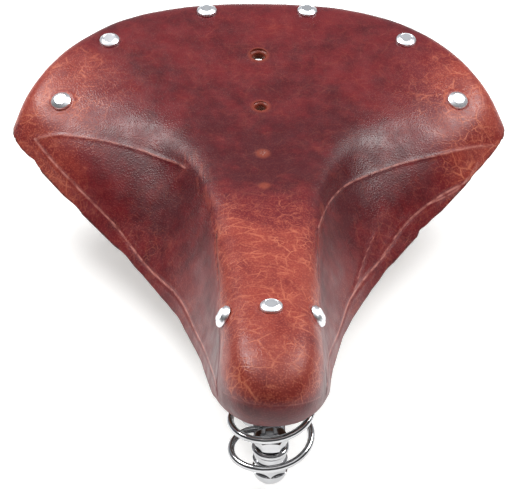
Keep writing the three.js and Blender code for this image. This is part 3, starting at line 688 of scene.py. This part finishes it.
def build_leather(material):
    rows, columns = LEATHER_STEPS
    along, across = np.meshgrid(np.linspace(0, 1, rows + 1), np.linspace(-1, 1, columns + 1), indexing="ij")
    side = np.where(across < 0, -1, 1)
    across = across * (1 - skirt_nick(along, side) * np.abs(across) ** 12)
    smooth = leather_point(along, across)
    normal = leather_normal(along, across)
    families = dict(shoulder=SHOULDER_CREASES, border=BORDER_LINES, fold=SKIRT_FOLDS, nose=NOSE_CREASES,
                    waist=WAIST_RIDGES, low_nose=LOW_NOSE_LINE, edge=SKIRT_EDGES)
    lines = {name: line_distance(smooth, family) for name, family in families.items()}
    outer = smooth + normal * leather_relief(smooth, lines)[..., None]
    inner = smooth - normal * LEATHER_THICKNESS
    shape = shell(outer, inner, EDGE_BULGE, EDGE_STEPS)
    shape = carved(shape, *(hole_cutter(y, radius) for y, radius in AIR_HOLES))

    piece = stand_in("leather_top", shape, material, rides=False)
    paint_leather(piece.data, smooth, lines)
    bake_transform(piece)
    return piece


def paint_leather(mesh, smooth, lines):
    """Stores on the mesh what the leather material needs to know about each point."""
    points = np.array([v.co for v in mesh.vertices]) / MM
    flat = smooth.reshape(-1, 3)
    tree = kdtree.KDTree(len(flat))
    for i, point in enumerate(flat):
        tree.insert(point, i)
    tree.balance()
    found = [tree.find(p) for p in points]
    nearest = np.array([f[1] for f in found])
    depth = np.array([f[2] for f in found])
    set_attribute(mesh, "rest", points * MM, "FLOAT_VECTOR")
    set_attribute(mesh, "inside", smoothstep(1.6, 3.0, depth))
    set_attribute(mesh, "rubbed_highlight_shade", rubbed_highlight_shade_share(points))
    set_attribute(mesh, "seat_dark_flank_shade", seat_dark_flank_shade_share(points))
    for name, distance in lines.items():
        set_attribute(mesh, f"{name}_mm", distance.ravel()[nearest])
    hole = np.min([np.hypot(points[:, 0], points[:, 1] - y) - radius
                   for y, radius in (*AIR_HOLES, *CLOSED_HOLES)], axis=0)
    set_attribute(mesh, "hole_mm", np.clip(hole, -5, 20))


# ---- plates and rivets under and in the leather ----


def net_plate(start_at, end, across_limit, depth, steps=(28, 80)):
    """A pressed plate that follows the leather at a depth below its outer surface."""
    share, across = np.meshgrid(np.linspace(0, 1, steps[0] + 1),
                                np.linspace(-across_limit, across_limit, steps[1] + 1), indexing="ij")
    along = start_at(across) + (end - start_at(across)) * share
    surface = leather_point(along, across)
    normal = leather_normal(along, across)
    outer = surface - normal * depth(share)[..., None]
    return shell(outer, outer - normal * PLATE_THICKNESS, 0.35, 4)


def place_on_leather(shape, along, across):
    """A shape made about +Z, moved to a place on the leather and turned to its normal."""
    return placed(shape, leather_point(along, across), leather_normal(along, across))


def build_cantle(material):
    plate = net_plate(cantle_start, CANTLE["to"], CANTLE["across"], cantle_depth)
    stand_in("cantle_plate", plate, material)


def build_nose_piece(material):
    plate = net_plate(lambda across: NOSE_CAP["start"] + 0 * across, NOSE_CAP["end"], NOSE_CAP["across"],
                      lambda share: NOSE_CAP["depth"] + 0 * share)
    stand_in("nose_piece", plate, material)


def rivet_shape(grip):
    """A tubular rivet: bevelled head with a sunk flat centre, shank and rolled tail."""
    head, height = RIVET["head"], RIVET["head_height"]
    shank, tail, roll = RIVET["shank"], RIVET["tail"], RIVET["tail_height"]
    centre = 0.6 * head
    rings = [
        (shank * 0.5, -grip - roll * 0.3), (shank * 0.8, -grip - roll * 0.85), (tail * 0.8, -grip - roll),
        (tail, -grip - roll * 0.6), (tail, -grip), (shank, -grip), (shank, -0.6),
        (head * 0.94, -0.5), (head * 0.99, -0.2), (head, GAP * 0.6),
    ]
    for share in np.linspace(0.12, 0.95, 7):
        rings.append((head - (head - centre) * share, GAP + height * (0.22 + 0.78 * share ** 0.8)))
    top = GAP + height
    rings += [(centre + 0.05, top), (centre - 0.12, top - 0.12)]
    rings += [(centre * 0.5, top - 0.14), (0.3, top - 0.14)]
    return turned(rings, 40)


def build_rivets(material):
    for node, along, across, grip in rivet_places():
        stand_in(node, place_on_leather(rivet_shape(grip), along, across), material)


# ---- springs ----


def eased_rise(turn, turns):
    """0 to 1 over a number of turns, at a steady rate with a quarter turn of easing at each end."""
    ease = 0.25
    steady = turns - ease
    start = ease * ((turn / ease) ** 3 - (turn / ease) ** 4 / 2) / steady
    back = (turns - turn) / ease
    end = 1 - ease * (back ** 3 - back ** 4 / 2) / steady
    middle = (turn - ease / 2) / steady
    stages = [turn <= 0, turn >= turns, turn < ease, turn > turns - ease]
    return np.select(stages, [0, 1, start, end], middle)


def spring_path(spec, per_turn=44):
    """The centre line of a spring, from its lower eye to its upper eye."""
    turns = spec["rise"] + 2 * (EYE_TURNS + FLAT_TURNS)
    turn = np.linspace(0, turns, round(turns * per_turn) + 1)
    from_end = np.minimum(turn, turns - turn)
    opening = smoothstep(EYE_TURNS, EYE_TURNS + SPIRAL_TURNS, from_end)
    radius = spec["eye"] + (spec["coil"] - spec["eye"]) * opening
    angle = math.radians(spec["start"]) + 2 * math.pi * turn
    rise = eased_rise(turn - EYE_TURNS - FLAT_TURNS, spec["rise"])
    z = spec["bottom"] + (spec["top"] - spec["bottom"]) * rise
    return np.stack([spec["x"] + radius * np.cos(angle), spec["y"] + radius * np.sin(angle), z], 1)


def build_springs(material):
    for node, spec, sign in (("front_spring", FRONT_SPRING, 1), ("rear_spring_left", REAR_SPRING, 1),
                             ("rear_spring_right", REAR_SPRING, -1)):
        coil = on_side(swept(spring_path(spec), spec["wire"], 18), sign)
        piece = stand_in(node, coil, material, rides=False)
        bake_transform(piece)


# ---- lower frame ----


def stadium(x, y, radius):
    return arc(x, y, radius, -90, 90, 24) + arc(-x, y, radius, 90, 270, 24)


def build_rails(material):
    front_z = FRONT["top"] - FRONT["thickness"] - GAP - RAIL["radius"]
    rear_z = BRIDGE["top"] - BRIDGE["thickness"] - 2 * GAP - RAIL["radius"]
    x, z = RAIL["x"], RAIL["z"]
    route = [(8, -94, front_z), (8.4, -78, front_z), (13.5, -60, -6), (20, -42, z - 0.8), (x, -30, z),
             (x, -10, z), (x, 24, z), (x, 47, z), (x, 55, z - 0.4), (23.2, 62, -4.5), (25, 68, -13),
             (26, 75, rear_z), (26, 98, rear_z)]
    bar = swept(catmull_rom(route, 10), RAIL["radius"], 24)
    for side, sign in SIDES:
        stand_in(f"rail_{side}", on_side(bar, sign), material)


def build_bridges(chrome, plated):
    hole = M8["radius"] + 0.4
    x, y = BRIDGE["x"], BRIDGE["y"]
    holes = [circle(x, y, hole), circle(-x, y, hole)]
    bottom = BRIDGE["top"] - BRIDGE["thickness"]
    lower = cut_plate(stadium(x, y, BRIDGE["radius"]), holes, bottom, BRIDGE["thickness"])
    stand_in("rear_bridge", lower, chrome)
    outline = stadium(x, y, UPPER_BRIDGE["radius"])
    upper = cut_plate(outline, holes, UPPER_BRIDGE["bottom"], UPPER_BRIDGE["thickness"])
    stand_in("upper_bridge", upper, plated)


def build_front_bracket(material):
    y, end, root, root_y = FRONT["y"], FRONT["end"], FRONT["root"], FRONT["root_y"]
    outline = [(root, root_y), (-root, root_y), (-root, root_y - 12), (-end, y + 18),
               *arc(0, y, end, 180, 360, 24), (end, y + 18), (root, root_y - 12)]
    holes = [circle(0, y, M6["radius"] + 0.4)]
    plate = cut_plate(outline, holes, FRONT["top"] - FRONT["thickness"], FRONT["thickness"])
    stand_in("front_bracket", plate, material)


def dome_nut_shape():
    """A dome nut hanging from z = 0."""
    radius, hex_height, flats = DOME_NUT["radius"], DOME_NUT["hex_height"], DOME_NUT["flats"]
    dome = [(radius * math.sin(a), -hex_height - radius * math.cos(a))
            for a in np.radians(np.linspace(3, 88, 18))]
    rings = dome + [(radius, -hex_height - 0.1), *hex_rings(flats, -hex_height, 0, chamfer_bottom=False)]
    return turned(rings)


def build_nose_fasteners(chrome, plated):
    y = FRONT["y"]
    bore = M6["radius"] + 0.4
    bush_bottom = FRONT["top"] + GAP
    washer_bottom = FRONT["top"] - FRONT["thickness"] - GAP - DOME_WASHER["height"]
    dome_top = washer_bottom - GAP
    bolt_top = bush_bottom + BUSH["height"] + GAP
    length = bolt_top - dome_top + DOME_NUT["thread_depth"]
    bush = placed(washer(BUSH["radius"], bore, BUSH["height"]), (0, y, bush_bottom))
    stand_in("front_spring_bush", bush, chrome)
    under_nut = washer(DOME_WASHER["radius"], bore, DOME_WASHER["height"])
    stand_in("dome_nut_washer", placed(under_nut, (0, y, washer_bottom)), chrome)
    nose_bolt = placed(bolt(NOSE_BOLT, length, length - 8), (0, y, bolt_top), (0, 0, -1))
    stand_in("front_spring_bolt", nose_bolt, chrome)
    stand_in("dome_nut", placed(dome_nut_shape(), (0, y, dome_top)), chrome)

    eye_bottom = FRONT_SPRING["top"] - FRONT_SPRING["wire"] - GAP
    yoke_top = YOKE["bottom"] + YOKE["thickness"]
    length = yoke_top + GAP + M6["nut"] - eye_bottom
    stand_in("front_spring_top_bolt", placed(bolt(M6, length, length - 6), (0, y, eye_bottom)), chrome)
    top_nut = placed(hex_nut(M6["flats"], M6["nut"], bore), (0, y, yoke_top + GAP))
    stand_in("front_spring_top_nut", top_nut, plated)


def build_rear_fasteners(chrome, plated):
    wide = M8["radius"] + 0.4
    nut = hex_nut(M8["flats"], M8["nut"] - 1, wide)
    low_head = BRIDGE["top"] - BRIDGE["thickness"] - GAP
    low_nut = REAR_SPRING["bottom"] + REAR_SPRING["wire"] + GAP
    top_nut = REAR_SPRING["top"] - REAR_SPRING["wire"] - GAP - (M8["nut"] - 1)
    top_head = UPPER_BRIDGE["bottom"] + UPPER_BRIDGE["thickness"] + GAP
    low_length = low_nut + 6 - low_head
    top_length = top_head - top_nut + 0.5
    for side, sign in SIDES:
        x, y = sign * BRIDGE["x"], BRIDGE["y"]
        low_bolt = placed(bolt(M8, low_length, low_length - 9), (x, y, low_head))
        top_bolt = placed(bolt(M8, top_length, top_length - 9), (x, y, top_head), (0, 0, -1))
        stand_in(f"rear_spring_bottom_bolt_{side}", low_bolt, chrome)
        stand_in(f"rear_spring_bottom_nut_{side}", placed(nut, (x, y, low_nut)), plated)
        stand_in(f"rear_spring_top_nut_{side}", placed(nut, (x, y, top_nut)), plated)
        stand_in(f"rear_spring_top_bolt_{side}", top_bolt, plated)


# ---- upper frame and tensioner ----


def build_upper_wires(material):
    front_z = YOKE["bottom"] - GAP - WIRE_RADIUS
    rear_z = UPPER_BRIDGE["bottom"] - GAP - WIRE_RADIUS
    route = [(8, -96, front_z), (8.5, -80, front_z), (11, -40, 28.8), (13.5, 0, 29.6), (18, 36, 31),
             (23, 66, rear_z), (25, 84, rear_z), (26, 102, rear_z), (26.4, 112, 37.5), (26.5, 121, 44.5)]
    bar = swept(catmull_rom(route, 10), WIRE_RADIUS, 20)
    for side, sign in SIDES:
        stand_in(f"upper_wire_{side}", on_side(bar, sign), material)


def build_yoke(material):
    """A plate over the front spring with an upright tab for the tension pin."""
    y, end, half, rear = FRONT["y"], YOKE["end"], YOKE["half_width"], YOKE["rear_y"]
    shoulder = YOKE["shoulder_y"]
    outline = [(half, rear), (-half, rear), (-half, shoulder),
               *arc(0, y, end, 180, 360, 24), (half, shoulder)]
    base = cut_plate(outline, [circle(0, y, M6["radius"] + 0.4)], YOKE["bottom"], YOKE["thickness"])
    width, top, corner = TAB["half_width"], TAB["top"], 3
    sheet = [(width, 0), (width, top - YOKE["bottom"] - corner),
             *arc(width - corner, top - YOKE["bottom"] - corner, corner, 0, 90, 8),
             *arc(-width + corner, top - YOKE["bottom"] - corner, corner, 90, 180, 8), (-width, 0)]
    hole = circle(0, PIN["z"] - YOKE["bottom"], PIN["radius"] + 0.4)
    points, faces = cut_plate(sheet, [hole], 0, TAB["thickness"])
    # Stands the tab up: its y becomes z, and its thickness runs back along y.
    depth = TAB["front"] + TAB["thickness"] - points[:, 2]
    upright = np.stack([points[:, 0], depth, points[:, 1] + YOKE["bottom"]], 1)
    stand_in("nose_yoke", merged(base, (upright, faces)), material)


def build_tensioner(pin_material, nut_material):
    head, radius = PIN["head"], PIN["radius"]
    length = PIN["rear_y"] - PIN["head_y"]
    edge = 0.5
    rings = [(head - edge, 0), (head, edge),
             (head, PIN["head_height"] - edge), (head - edge, PIN["head_height"]),
             (radius, PIN["head_height"]), (radius, 22), *thread_rings(radius, 1.0, 22, length - 0.6),
             (radius - 0.6, length)]
    stand_in("tension_pin", placed(turned(rings), (0, PIN["head_y"], PIN["z"]), (0, 1, 0)), pin_material)
    nut_length = 6.5
    nut = hex_nut(11, nut_length, radius + 0.4)
    nut_end = (0, TAB["front"] - GAP - nut_length, PIN["z"])
    stand_in("tension_nut", placed(nut, nut_end, (0, 1, 0)), nut_material)


# ---- seatpost band and rail clamp ----


def along_bolt(shape, x=0.0):
    """A shape made about +Z, laid along the cross bolt."""
    return placed(shape, (x, *PIVOT), (1, 0, 0))


def build_band(material):
    """A strap bent round the post, with two ears at its back."""
    radius, inner, outer, end = BAND["radius"], BAND["ear_inner"], BAND["ear_outer"], BAND["ear_end"]
    near_angle = math.degrees(math.asin(outer / radius))
    bore_angle = math.degrees(math.asin(inner / BORE_RADIUS))
    outline = [(outer, end), (inner, end),
               *arc(0, 0, BORE_RADIUS, 90 - bore_angle, 90 + bore_angle - 360, 60),
               (-inner, end), (-outer, end), *arc(0, 0, radius, 90 + near_angle, 450 - near_angle, 60)]
    strap = cut_plate(outline, [], BAND["bottom"], BAND["top"] - BAND["bottom"], 0.5)
    hole = along_bolt(turned([(M8["radius"] + 0.4, -20), (M8["radius"] + 0.4, 20)], 32))
    stand_in("post_band", carved(strap, hole), material)


def cheek_plate(x0, x1):
    """A tall rounded plate about the cross bolt, from x0 to x1."""
    y, z = PIVOT
    half, top, corner = CHEEK["half_width"], CHEEK["top"], 5
    outline = [*arc(y + half - corner, top - corner, corner, 0, 90, 10),
               *arc(y - half + corner, top - corner, corner, 90, 180, 10), *arc(y, z, half, 180, 360, 36)]
    points, faces = cut_plate(outline, [], x0, x1 - x0, 0.5)
    return points[:, [2, 0, 1]], faces


def toothed_disc(x0, x1, teeth=36, depth=0.5):
    """The disc that bears on the band's ear, with fine teeth round its rim."""
    segments = teeth * 4
    angle = np.arange(segments) * 2 * math.pi / segments
    rim = CHEEK["disc"] - depth * (0.5 - 0.5 * np.cos(teeth * angle))
    inner = CHEEK["disc"] - 1.2
    rings = [(inner, 0), (rim, 0.5), (rim, x1 - x0)]
    return along_bolt(turned(rings, segments), x0)


def build_clamp(chrome, plated):
    hole = along_bolt(turned([(M8["radius"] + 0.4, -60), (M8["radius"] + 0.4, 60)], 32))
    grooves = placed(turned([(RAIL["radius"] + GAP, -60), (RAIL["radius"] + GAP, 60)], 40),
                     (RAIL["x"], 0, RAIL["z"]), (0, 1, 0))
    bore = M8["radius"] + 0.4
    washer_x = CHEEK["outer"] + GAP
    washer_height = 1.6
    nut_x = washer_x + washer_height + GAP
    disc = carved(toothed_disc(CHEEK["inner"], CHEEK["plate"]), hole)
    inner = carved(cheek_plate(CHEEK["plate"], RAIL["x"] - GAP), hole, grooves)
    outer = carved(cheek_plate(RAIL["x"] + GAP, CHEEK["outer"]), hole, grooves)
    for side, sign in SIDES:
        stand_in(f"inner_cheek_{side}", on_side(merged(disc, inner), sign), plated)
        stand_in(f"outer_cheek_{side}", on_side(outer, sign), plated)
        ring = along_bolt(washer(9, bore, washer_height), washer_x)
        nut = along_bolt(hex_nut(M8["flats"], M8["nut"], bore), nut_x)
        stand_in(f"cross_bolt_washer_{side}", on_side(ring, sign), plated)
        stand_in(f"cross_bolt_nut_{side}", on_side(nut, sign), chrome)
    end, start, radius = CROSS_BOLT["half_length"], CROSS_BOLT["thread_from"], M8["radius"]
    thread = thread_rings(radius, M8["pitch"], start, end - BOLT_TIP)
    half = [(radius, 0), (radius, start), *thread, (radius - BOLT_TIP, end)]
    rings = [(r, -z) for r, z in reversed(half[1:])] + half[1:]
    stand_in("cross_bolt", along_bolt(turned(rings)), plated)


# ---- materials ----


def new_material(name):
    material = bpy.data.materials.new(name)
    material.use_nodes = True
    return material, material.node_tree, material.node_tree.nodes["Principled BSDF"]


def add_node(tree, kind, inputs=(), **settings):
    """Adds a node; inputs are (socket, value or other node's socket) pairs."""
    node = tree.nodes.new(kind)
    for key, value in settings.items():
        setattr(node, key, value)
    for key, value in inputs:
        if isinstance(value, bpy.types.NodeSocket):
            tree.links.new(value, node.inputs[key])
        else:
            node.inputs[key].default_value = value
    return node


def maths(tree, operation, a, b=0.0):
    return add_node(tree, "ShaderNodeMath", ((0, a), (1, b)), operation=operation).outputs[0]


def mixed(tree, factor, a, b, blend="MIX"):
    inputs = ((0, factor), (6, a), (7, b))
    node = add_node(tree, "ShaderNodeMix", inputs, data_type="RGBA", blend_type=blend)
    return node.outputs[2]


def mapped(tree, value, low, high, out_low=0.0, out_high=1.0):
    """A value eased from one range to another."""
    inputs = ((0, value), (1, low), (2, high), (3, out_low), (4, out_high))
    return add_node(tree, "ShaderNodeMapRange", inputs, interpolation_type="SMOOTHSTEP").outputs[0]


def noise(tree, where, scale, detail=2.0, roughness=0.5, distortion=0.0):
    inputs = (("Vector", where), ("Scale", scale), ("Detail", detail), ("Roughness", roughness),
              ("Distortion", distortion))
    return add_node(tree, "ShaderNodeTexNoise", inputs).outputs[0]


def stored(tree, name, output=2):
    """A value stored on the mesh as an attribute."""
    return add_node(tree, "ShaderNodeAttribute", attribute_name=name).outputs[output]


def colour(red, green, blue):
    return (red, green, blue, 1.0)


def thin_line(tree, distance, width):
    """1 on a stored line, falling to 0 at a width in millimetres."""
    return mapped(tree, distance, width, width * 0.25)


WINE = colour(0.068, 0.0031, 0.007)
RUSSET = colour(0.142, 0.009, 0.0128)
ORANGE = colour(0.292, 0.042, 0.028)
# painted highlight: pale pink laid along the shoulder creases, border lines, skirt folds and low nose line
PAINTED_LINE_HIGHLIGHT = colour(0.58, 0.23, 0.19)
# dark tint: burnish on the cut edge, and painted shade in the nose creases
BURNISH_AND_CREASE_SHADE = colour(0.045, 0.008, 0.008)
LINE_TINTS = (  # name, width in mm, strength, colour
    ("shoulder", 0.75, 0.55, PAINTED_LINE_HIGHLIGHT), ("border", 0.8, 0.8, PAINTED_LINE_HIGHLIGHT),
    ("fold", 0.7, 0.5, PAINTED_LINE_HIGHLIGHT), ("low_nose", 0.5, 0.25, PAINTED_LINE_HIGHLIGHT),
    ("nose", 0.8, 0.7, BURNISH_AND_CREASE_SHADE), ("edge", 1.3, 0.85, BURNISH_AND_CREASE_SHADE),
)


def vein_net(tree, where, scale, width, wander=0.5):
    """A network of thin lines between wandering cells."""
    wobble = add_node(tree, "ShaderNodeTexNoise",
                      (("Vector", where), ("Scale", scale * 0.8), ("Detail", 4.0)))
    amount = wander / scale
    shift = ((0, wobble.outputs["Color"]), (1, (amount,) * 3), (2, where))
    shifted = add_node(tree, "ShaderNodeVectorMath", shift, operation="MULTIPLY_ADD").outputs[0]
    cells = add_node(tree, "ShaderNodeTexVoronoi", (("Vector", shifted), ("Scale", scale)),
                     feature="DISTANCE_TO_EDGE")
    return mapped(tree, cells.outputs["Distance"], width, 0.0)


def leather_colour(tree, rest, rubbed_highlight_shade, seat_dark_flank_shade):
    """Wine red, darker in the middle of the seat, with painted shade in the flank hollows and on the lower
    nose, lighter orange where the finish is worn through, and a painted highlight on the far flanks.
    """
    broad = noise(tree, rest, 36, 3, 0.55)
    mottle = noise(tree, rest, 150, 4, 0.62)
    wear_and_light = maths(tree, "ADD", rubbed_highlight_shade, maths(tree, "MULTIPLY", maths(tree, "SUBTRACT", broad, 0.46), 1.3))
    wear_and_light = maths(tree, "ADD", wear_and_light, maths(tree, "MULTIPLY", maths(tree, "SUBTRACT", mottle, 0.5), 1.0))
    # darker middle of the seat and painted shade in the flank hollows
    wear_and_light = maths(tree, "SUBTRACT", wear_and_light, maths(tree, "MULTIPLY", seat_dark_flank_shade, 0.35))
    base = mixed(tree, mapped(tree, wear_and_light, -0.35, 0.35), WINE, RUSSET)
    return mixed(tree, mapped(tree, wear_and_light, 0.25, 1.15), base, ORANGE)


def leather_veins(tree, rest, rubbed_highlight_shade):
    """Fat wrinkles: a wide net, a finer one, and lines that run across the narrow nose."""
    crosswise = stretched(tree, rest, (0.5, 1.25, 0.9))
    nets = (
        vein_net(tree, rest, 80, 0.045),
        vein_net(tree, rest, 230, 0.08),
        vein_net(tree, crosswise, 130, 0.06),
    )
    total = None
    for patch, net in zip((60, 110, 75), nets):
        broken = mapped(tree, noise(tree, rest, patch, 4, 0.65), 0.44, 0.68)
        part = maths(tree, "MULTIPLY", net, broken)
        total = part if total is None else maths(tree, "MAXIMUM", total, part)
    return maths(tree, "MULTIPLY", total, mapped(tree, rubbed_highlight_shade, 0.05, 0.7, 0.07, 0.75))


def leather_lines(tree, rest, base):
    """Painted highlights along the shoulder creases, border lines, skirt folds and low nose line, painted
    shade in the nose creases, the burnished cut edge, scuffed ridges and the rims of the holes.
    """
    ragged = mapped(tree, noise(tree, rest, 240, 3), 0.35, 0.6, 0.25, 1.0)
    for name, width, amount, tint in LINE_TINTS:
        line = maths(tree, "MULTIPLY", thin_line(tree, stored(tree, f"{name}_mm"), width), amount)
        base = mixed(tree, maths(tree, "MULTIPLY", line, ragged), base, tint)
    streaks = mapped(tree, noise(tree, stretched(tree, rest, (1.0, 0.14, 0.35)), 620, 3), 0.47, 0.62)
    ridge = maths(tree, "MULTIPLY", mapped(tree, stored(tree, "waist_mm"), 6.5, 0.5), streaks)
    base = mixed(tree, maths(tree, "MULTIPLY", ridge, 0.36), base, colour(0.34, 0.07, 0.045))
    rim = mapped(tree, stored(tree, "hole_mm"), 3.2, 0.4)
    return mixed(tree, maths(tree, "MULTIPLY", rim, 0.6), base, colour(0.30, 0.06, 0.03))


def leather_material():
    material, tree, shader = new_material("aged_leather")
    rest = stored(tree, "rest", 1)
    rubbed_highlight_shade = stored(tree, "rubbed_highlight_shade")
    inside = stored(tree, "inside")
    fine = noise(tree, rest, 900, 3, 0.6)
    grain_cells = add_node(tree, "ShaderNodeTexVoronoi", (("Vector", rest), ("Scale", 1050.0)))
    cells = grain_cells.outputs["Distance"]
    pebble = mapped(tree, cells, 0.6, 0.1)

    base = leather_colour(tree, rest, rubbed_highlight_shade, stored(tree, "seat_dark_flank_shade"))
    dots = maths(tree, "MULTIPLY", pebble, mapped(tree, rubbed_highlight_shade, 0.0, 0.8, 0.05, 0.5))
    base = mixed(tree, dots, base, colour(0.50, 0.112, 0.063))
    veins = leather_veins(tree, rest, rubbed_highlight_shade)
    base = mixed(tree, veins, base, colour(0.58, 0.165, 0.09))
    base = leather_lines(tree, rest, base)
    flesh = mixed(tree, fine, colour(0.10, 0.045, 0.028), colour(0.24, 0.12, 0.075))
    base = mixed(tree, inside, base, flesh)
    tree.links.new(base, shader.inputs["Base Color"])

    rough = mapped(tree, noise(tree, rest, 120, 3), 0.3, 0.7, 0.32, 0.46)
    rough = maths(tree, "MAXIMUM", rough, maths(tree, "MULTIPLY", inside, 0.85))
    tree.links.new(rough, shader.inputs["Roughness"])
    shader.inputs["Specular IOR Level"].default_value = 0.38

    grain = maths(tree, "ADD", maths(tree, "MULTIPLY", pebble, 0.7), maths(tree, "MULTIPLY", fine, 0.8))
    grain = maths(tree, "SUBTRACT", grain, veins)
    bump = add_node(tree, "ShaderNodeBump", (("Strength", 0.35), ("Distance", 0.0002), ("Height", grain)))
    tree.links.new(bump.outputs[0], shader.inputs["Normal"])
    return material


def stretched(tree, where, scale):
    """Coordinates scaled, so that the texture on them is stretched."""
    node = add_node(tree, "ShaderNodeMapping", (("Vector", where), ("Scale", scale)))
    return node.outputs[0]


def metal_material(name, tint, low_rough, high_rough, scratch, tarnish=None):
    """Plated metal with smudges, fine scratches and, where given, darker tarnish."""
    material, tree, shader = new_material(name)
    where = add_node(tree, "ShaderNodeTexCoord").outputs["Object"]
    smudge = noise(tree, where, 90, 4, 0.6)
    lines = noise(tree, stretched(tree, where, (1.0, 9.0, 9.0)), 520, 3, 0.6)
    rough = mapped(tree, smudge, 0.3, 0.75, low_rough, high_rough)
    tree.links.new(rough, shader.inputs["Roughness"])
    base = mixed(tree, mapped(tree, smudge, 0.35, 0.7), colour(*tint), colour(*(t * 0.86 for t in tint)))
    if tarnish:
        spots = mapped(tree, noise(tree, where, 340, 5, 0.7), 0.58, 0.72)
        base = mixed(tree, maths(tree, "MULTIPLY", spots, 0.7), base, colour(*tarnish))
    tree.links.new(base, shader.inputs["Base Color"])
    shader.inputs["Metallic"].default_value = 1.0
    bump = add_node(tree, "ShaderNodeBump",
                    (("Strength", scratch), ("Distance", 0.00005), ("Height", lines)))
    tree.links.new(bump.outputs[0], shader.inputs["Normal"])
    return material


def floor_material():
    """A pale table, lit a little from below as product tables are."""
    material, tree, shader = new_material("pale_floor")
    where = add_node(tree, "ShaderNodeTexCoord").outputs["Object"]
    base = mixed(tree, noise(tree, where, 6, 2), colour(0.84, 0.835, 0.825), colour(0.86, 0.86, 0.855))
    tree.links.new(base, shader.inputs["Base Color"])
    shader.inputs["Roughness"].default_value = 0.9
    shader.inputs["Emission Color"].default_value = colour(1.0, 0.99, 0.97)
    shader.inputs["Emission Strength"].default_value = 0.46
    return material


# ---- camera, light and floor ----

VIEW = dict(azimuth=-2.3, elevation=37.2, roll=1.2, distance=1140, target=(-1.2, -4.8, 20), lens=169.9)


def direction(azimuth, elevation):
    """Unit vector from the saddle towards a place round it; azimuth 0 is the nose side."""
    a, e = math.radians(azimuth), math.radians(elevation)
    return Vector((math.sin(a) * math.cos(e), -math.cos(a) * math.cos(e), math.sin(e)))


def build_camera():
    data = bpy.data.cameras.new("camera")
    data.lens = VIEW["lens"]
    data.sensor_width = 36
    data.clip_start = 0.01
    data.clip_end = 20
    camera = bpy.data.objects.new("camera", data)
    back = direction(VIEW["azimuth"], VIEW["elevation"])
    turn = back.to_track_quat("Z", "Y").to_matrix() @ Matrix.Rotation(math.radians(VIEW["roll"]), 3, "Z")
    place = (Vector(VIEW["target"]) + back * VIEW["distance"]) * MM
    camera.matrix_world = Matrix.Translation(place) @ turn.to_4x4()
    bpy.context.scene.collection.objects.link(camera)
    bpy.context.scene.camera = camera


def add_softbox(name, azimuth, elevation, distance, size, power, tint=(1, 1, 1)):
    """A rectangular area light at an azimuth, elevation and distance."""
    data = bpy.data.lights.new(name, "AREA")
    data.shape = "RECTANGLE"
    data.size, data.size_y = size
    data.energy = power
    data.color = tint
    light = bpy.data.objects.new(name, data)
    aim = direction(azimuth, elevation)
    light.location = aim * distance
    light.rotation_euler = aim.to_track_quat("Z", "Y").to_euler()
    bpy.context.scene.collection.objects.link(light)


def build_world():
    """A plain light room, brightest overhead and dim low down in front, so that polish shows."""
    world = bpy.data.worlds.new("studio")
    bpy.context.scene.world = world
    world.use_nodes = True
    tree = world.node_tree
    where = add_node(tree, "ShaderNodeTexCoord").outputs["Generated"]
    parts = add_node(tree, "ShaderNodeSeparateXYZ", ((0, where),))
    overhead = mapped(tree, parts.outputs[2], 0.45, 1.0)
    walls = mapped(tree, parts.outputs[1], 0.0, 0.95)
    shade = mixed(tree, walls, colour(0.05, 0.048, 0.05), colour(0.34, 0.35, 0.37))
    shade = mixed(tree, overhead, shade, colour(0.50, 0.50, 0.50))
    tree.links.new(shade, tree.nodes["Background"].inputs["Color"])


def build_floor():
    half = 20000
    steps = 24
    line = np.linspace(-half, half, steps + 1)
    x, y = np.meshgrid(line, line)
    points = np.stack([x.ravel(), y.ravel(), np.full(x.size, CAD_BOX[0].z / MM)], 1)
    floor = add_piece("floor", (points, grid_faces(steps + 1, steps + 1)), floor_material())


def build_studio():
    bpy.context.scene.view_settings.view_transform = "Standard"
    build_world()
    build_floor()
    build_camera()
    add_softbox("softbox_left", -122, 53, 0.9, (0.38, 0.28), 5.6)
    add_softbox("softbox_right", 108, 51, 0.9, (0.38, 0.28), 4.7)
    add_softbox("softbox_top", 0, 84, 1.5, (1.7, 1.3), 5)


def build_saddle():
    leather = leather_material()
    chrome = metal_material("chrome_plate", (0.58, 0.585, 0.60), 0.05, 0.12, 0.05)
    plated = metal_material("dull_nickel", (0.55, 0.56, 0.58), 0.28, 0.42, 0.25, tarnish=(0.20, 0.16, 0.12))
    zinc = metal_material("zinc_plate", (0.60, 0.615, 0.62), 0.24, 0.36, 0.2, tarnish=(0.34, 0.32, 0.27))
    rivet = metal_material("rivet_nickel", (0.93, 0.95, 0.98), 0.32, 0.44, 0.08)

    build_leather(leather)
    build_cantle(plated)
    build_nose_piece(plated)
    build_rivets(rivet)
    build_springs(chrome)
    build_rails(chrome)
    build_bridges(chrome, plated)
    build_front_bracket(chrome)
    build_nose_fasteners(chrome, zinc)
    build_rear_fasteners(chrome, zinc)
    build_upper_wires(plated)
    build_yoke(plated)
    build_tensioner(zinc, zinc)
    build_band(chrome)
    build_clamp(chrome, zinc)


build_studio()
build_saddle()
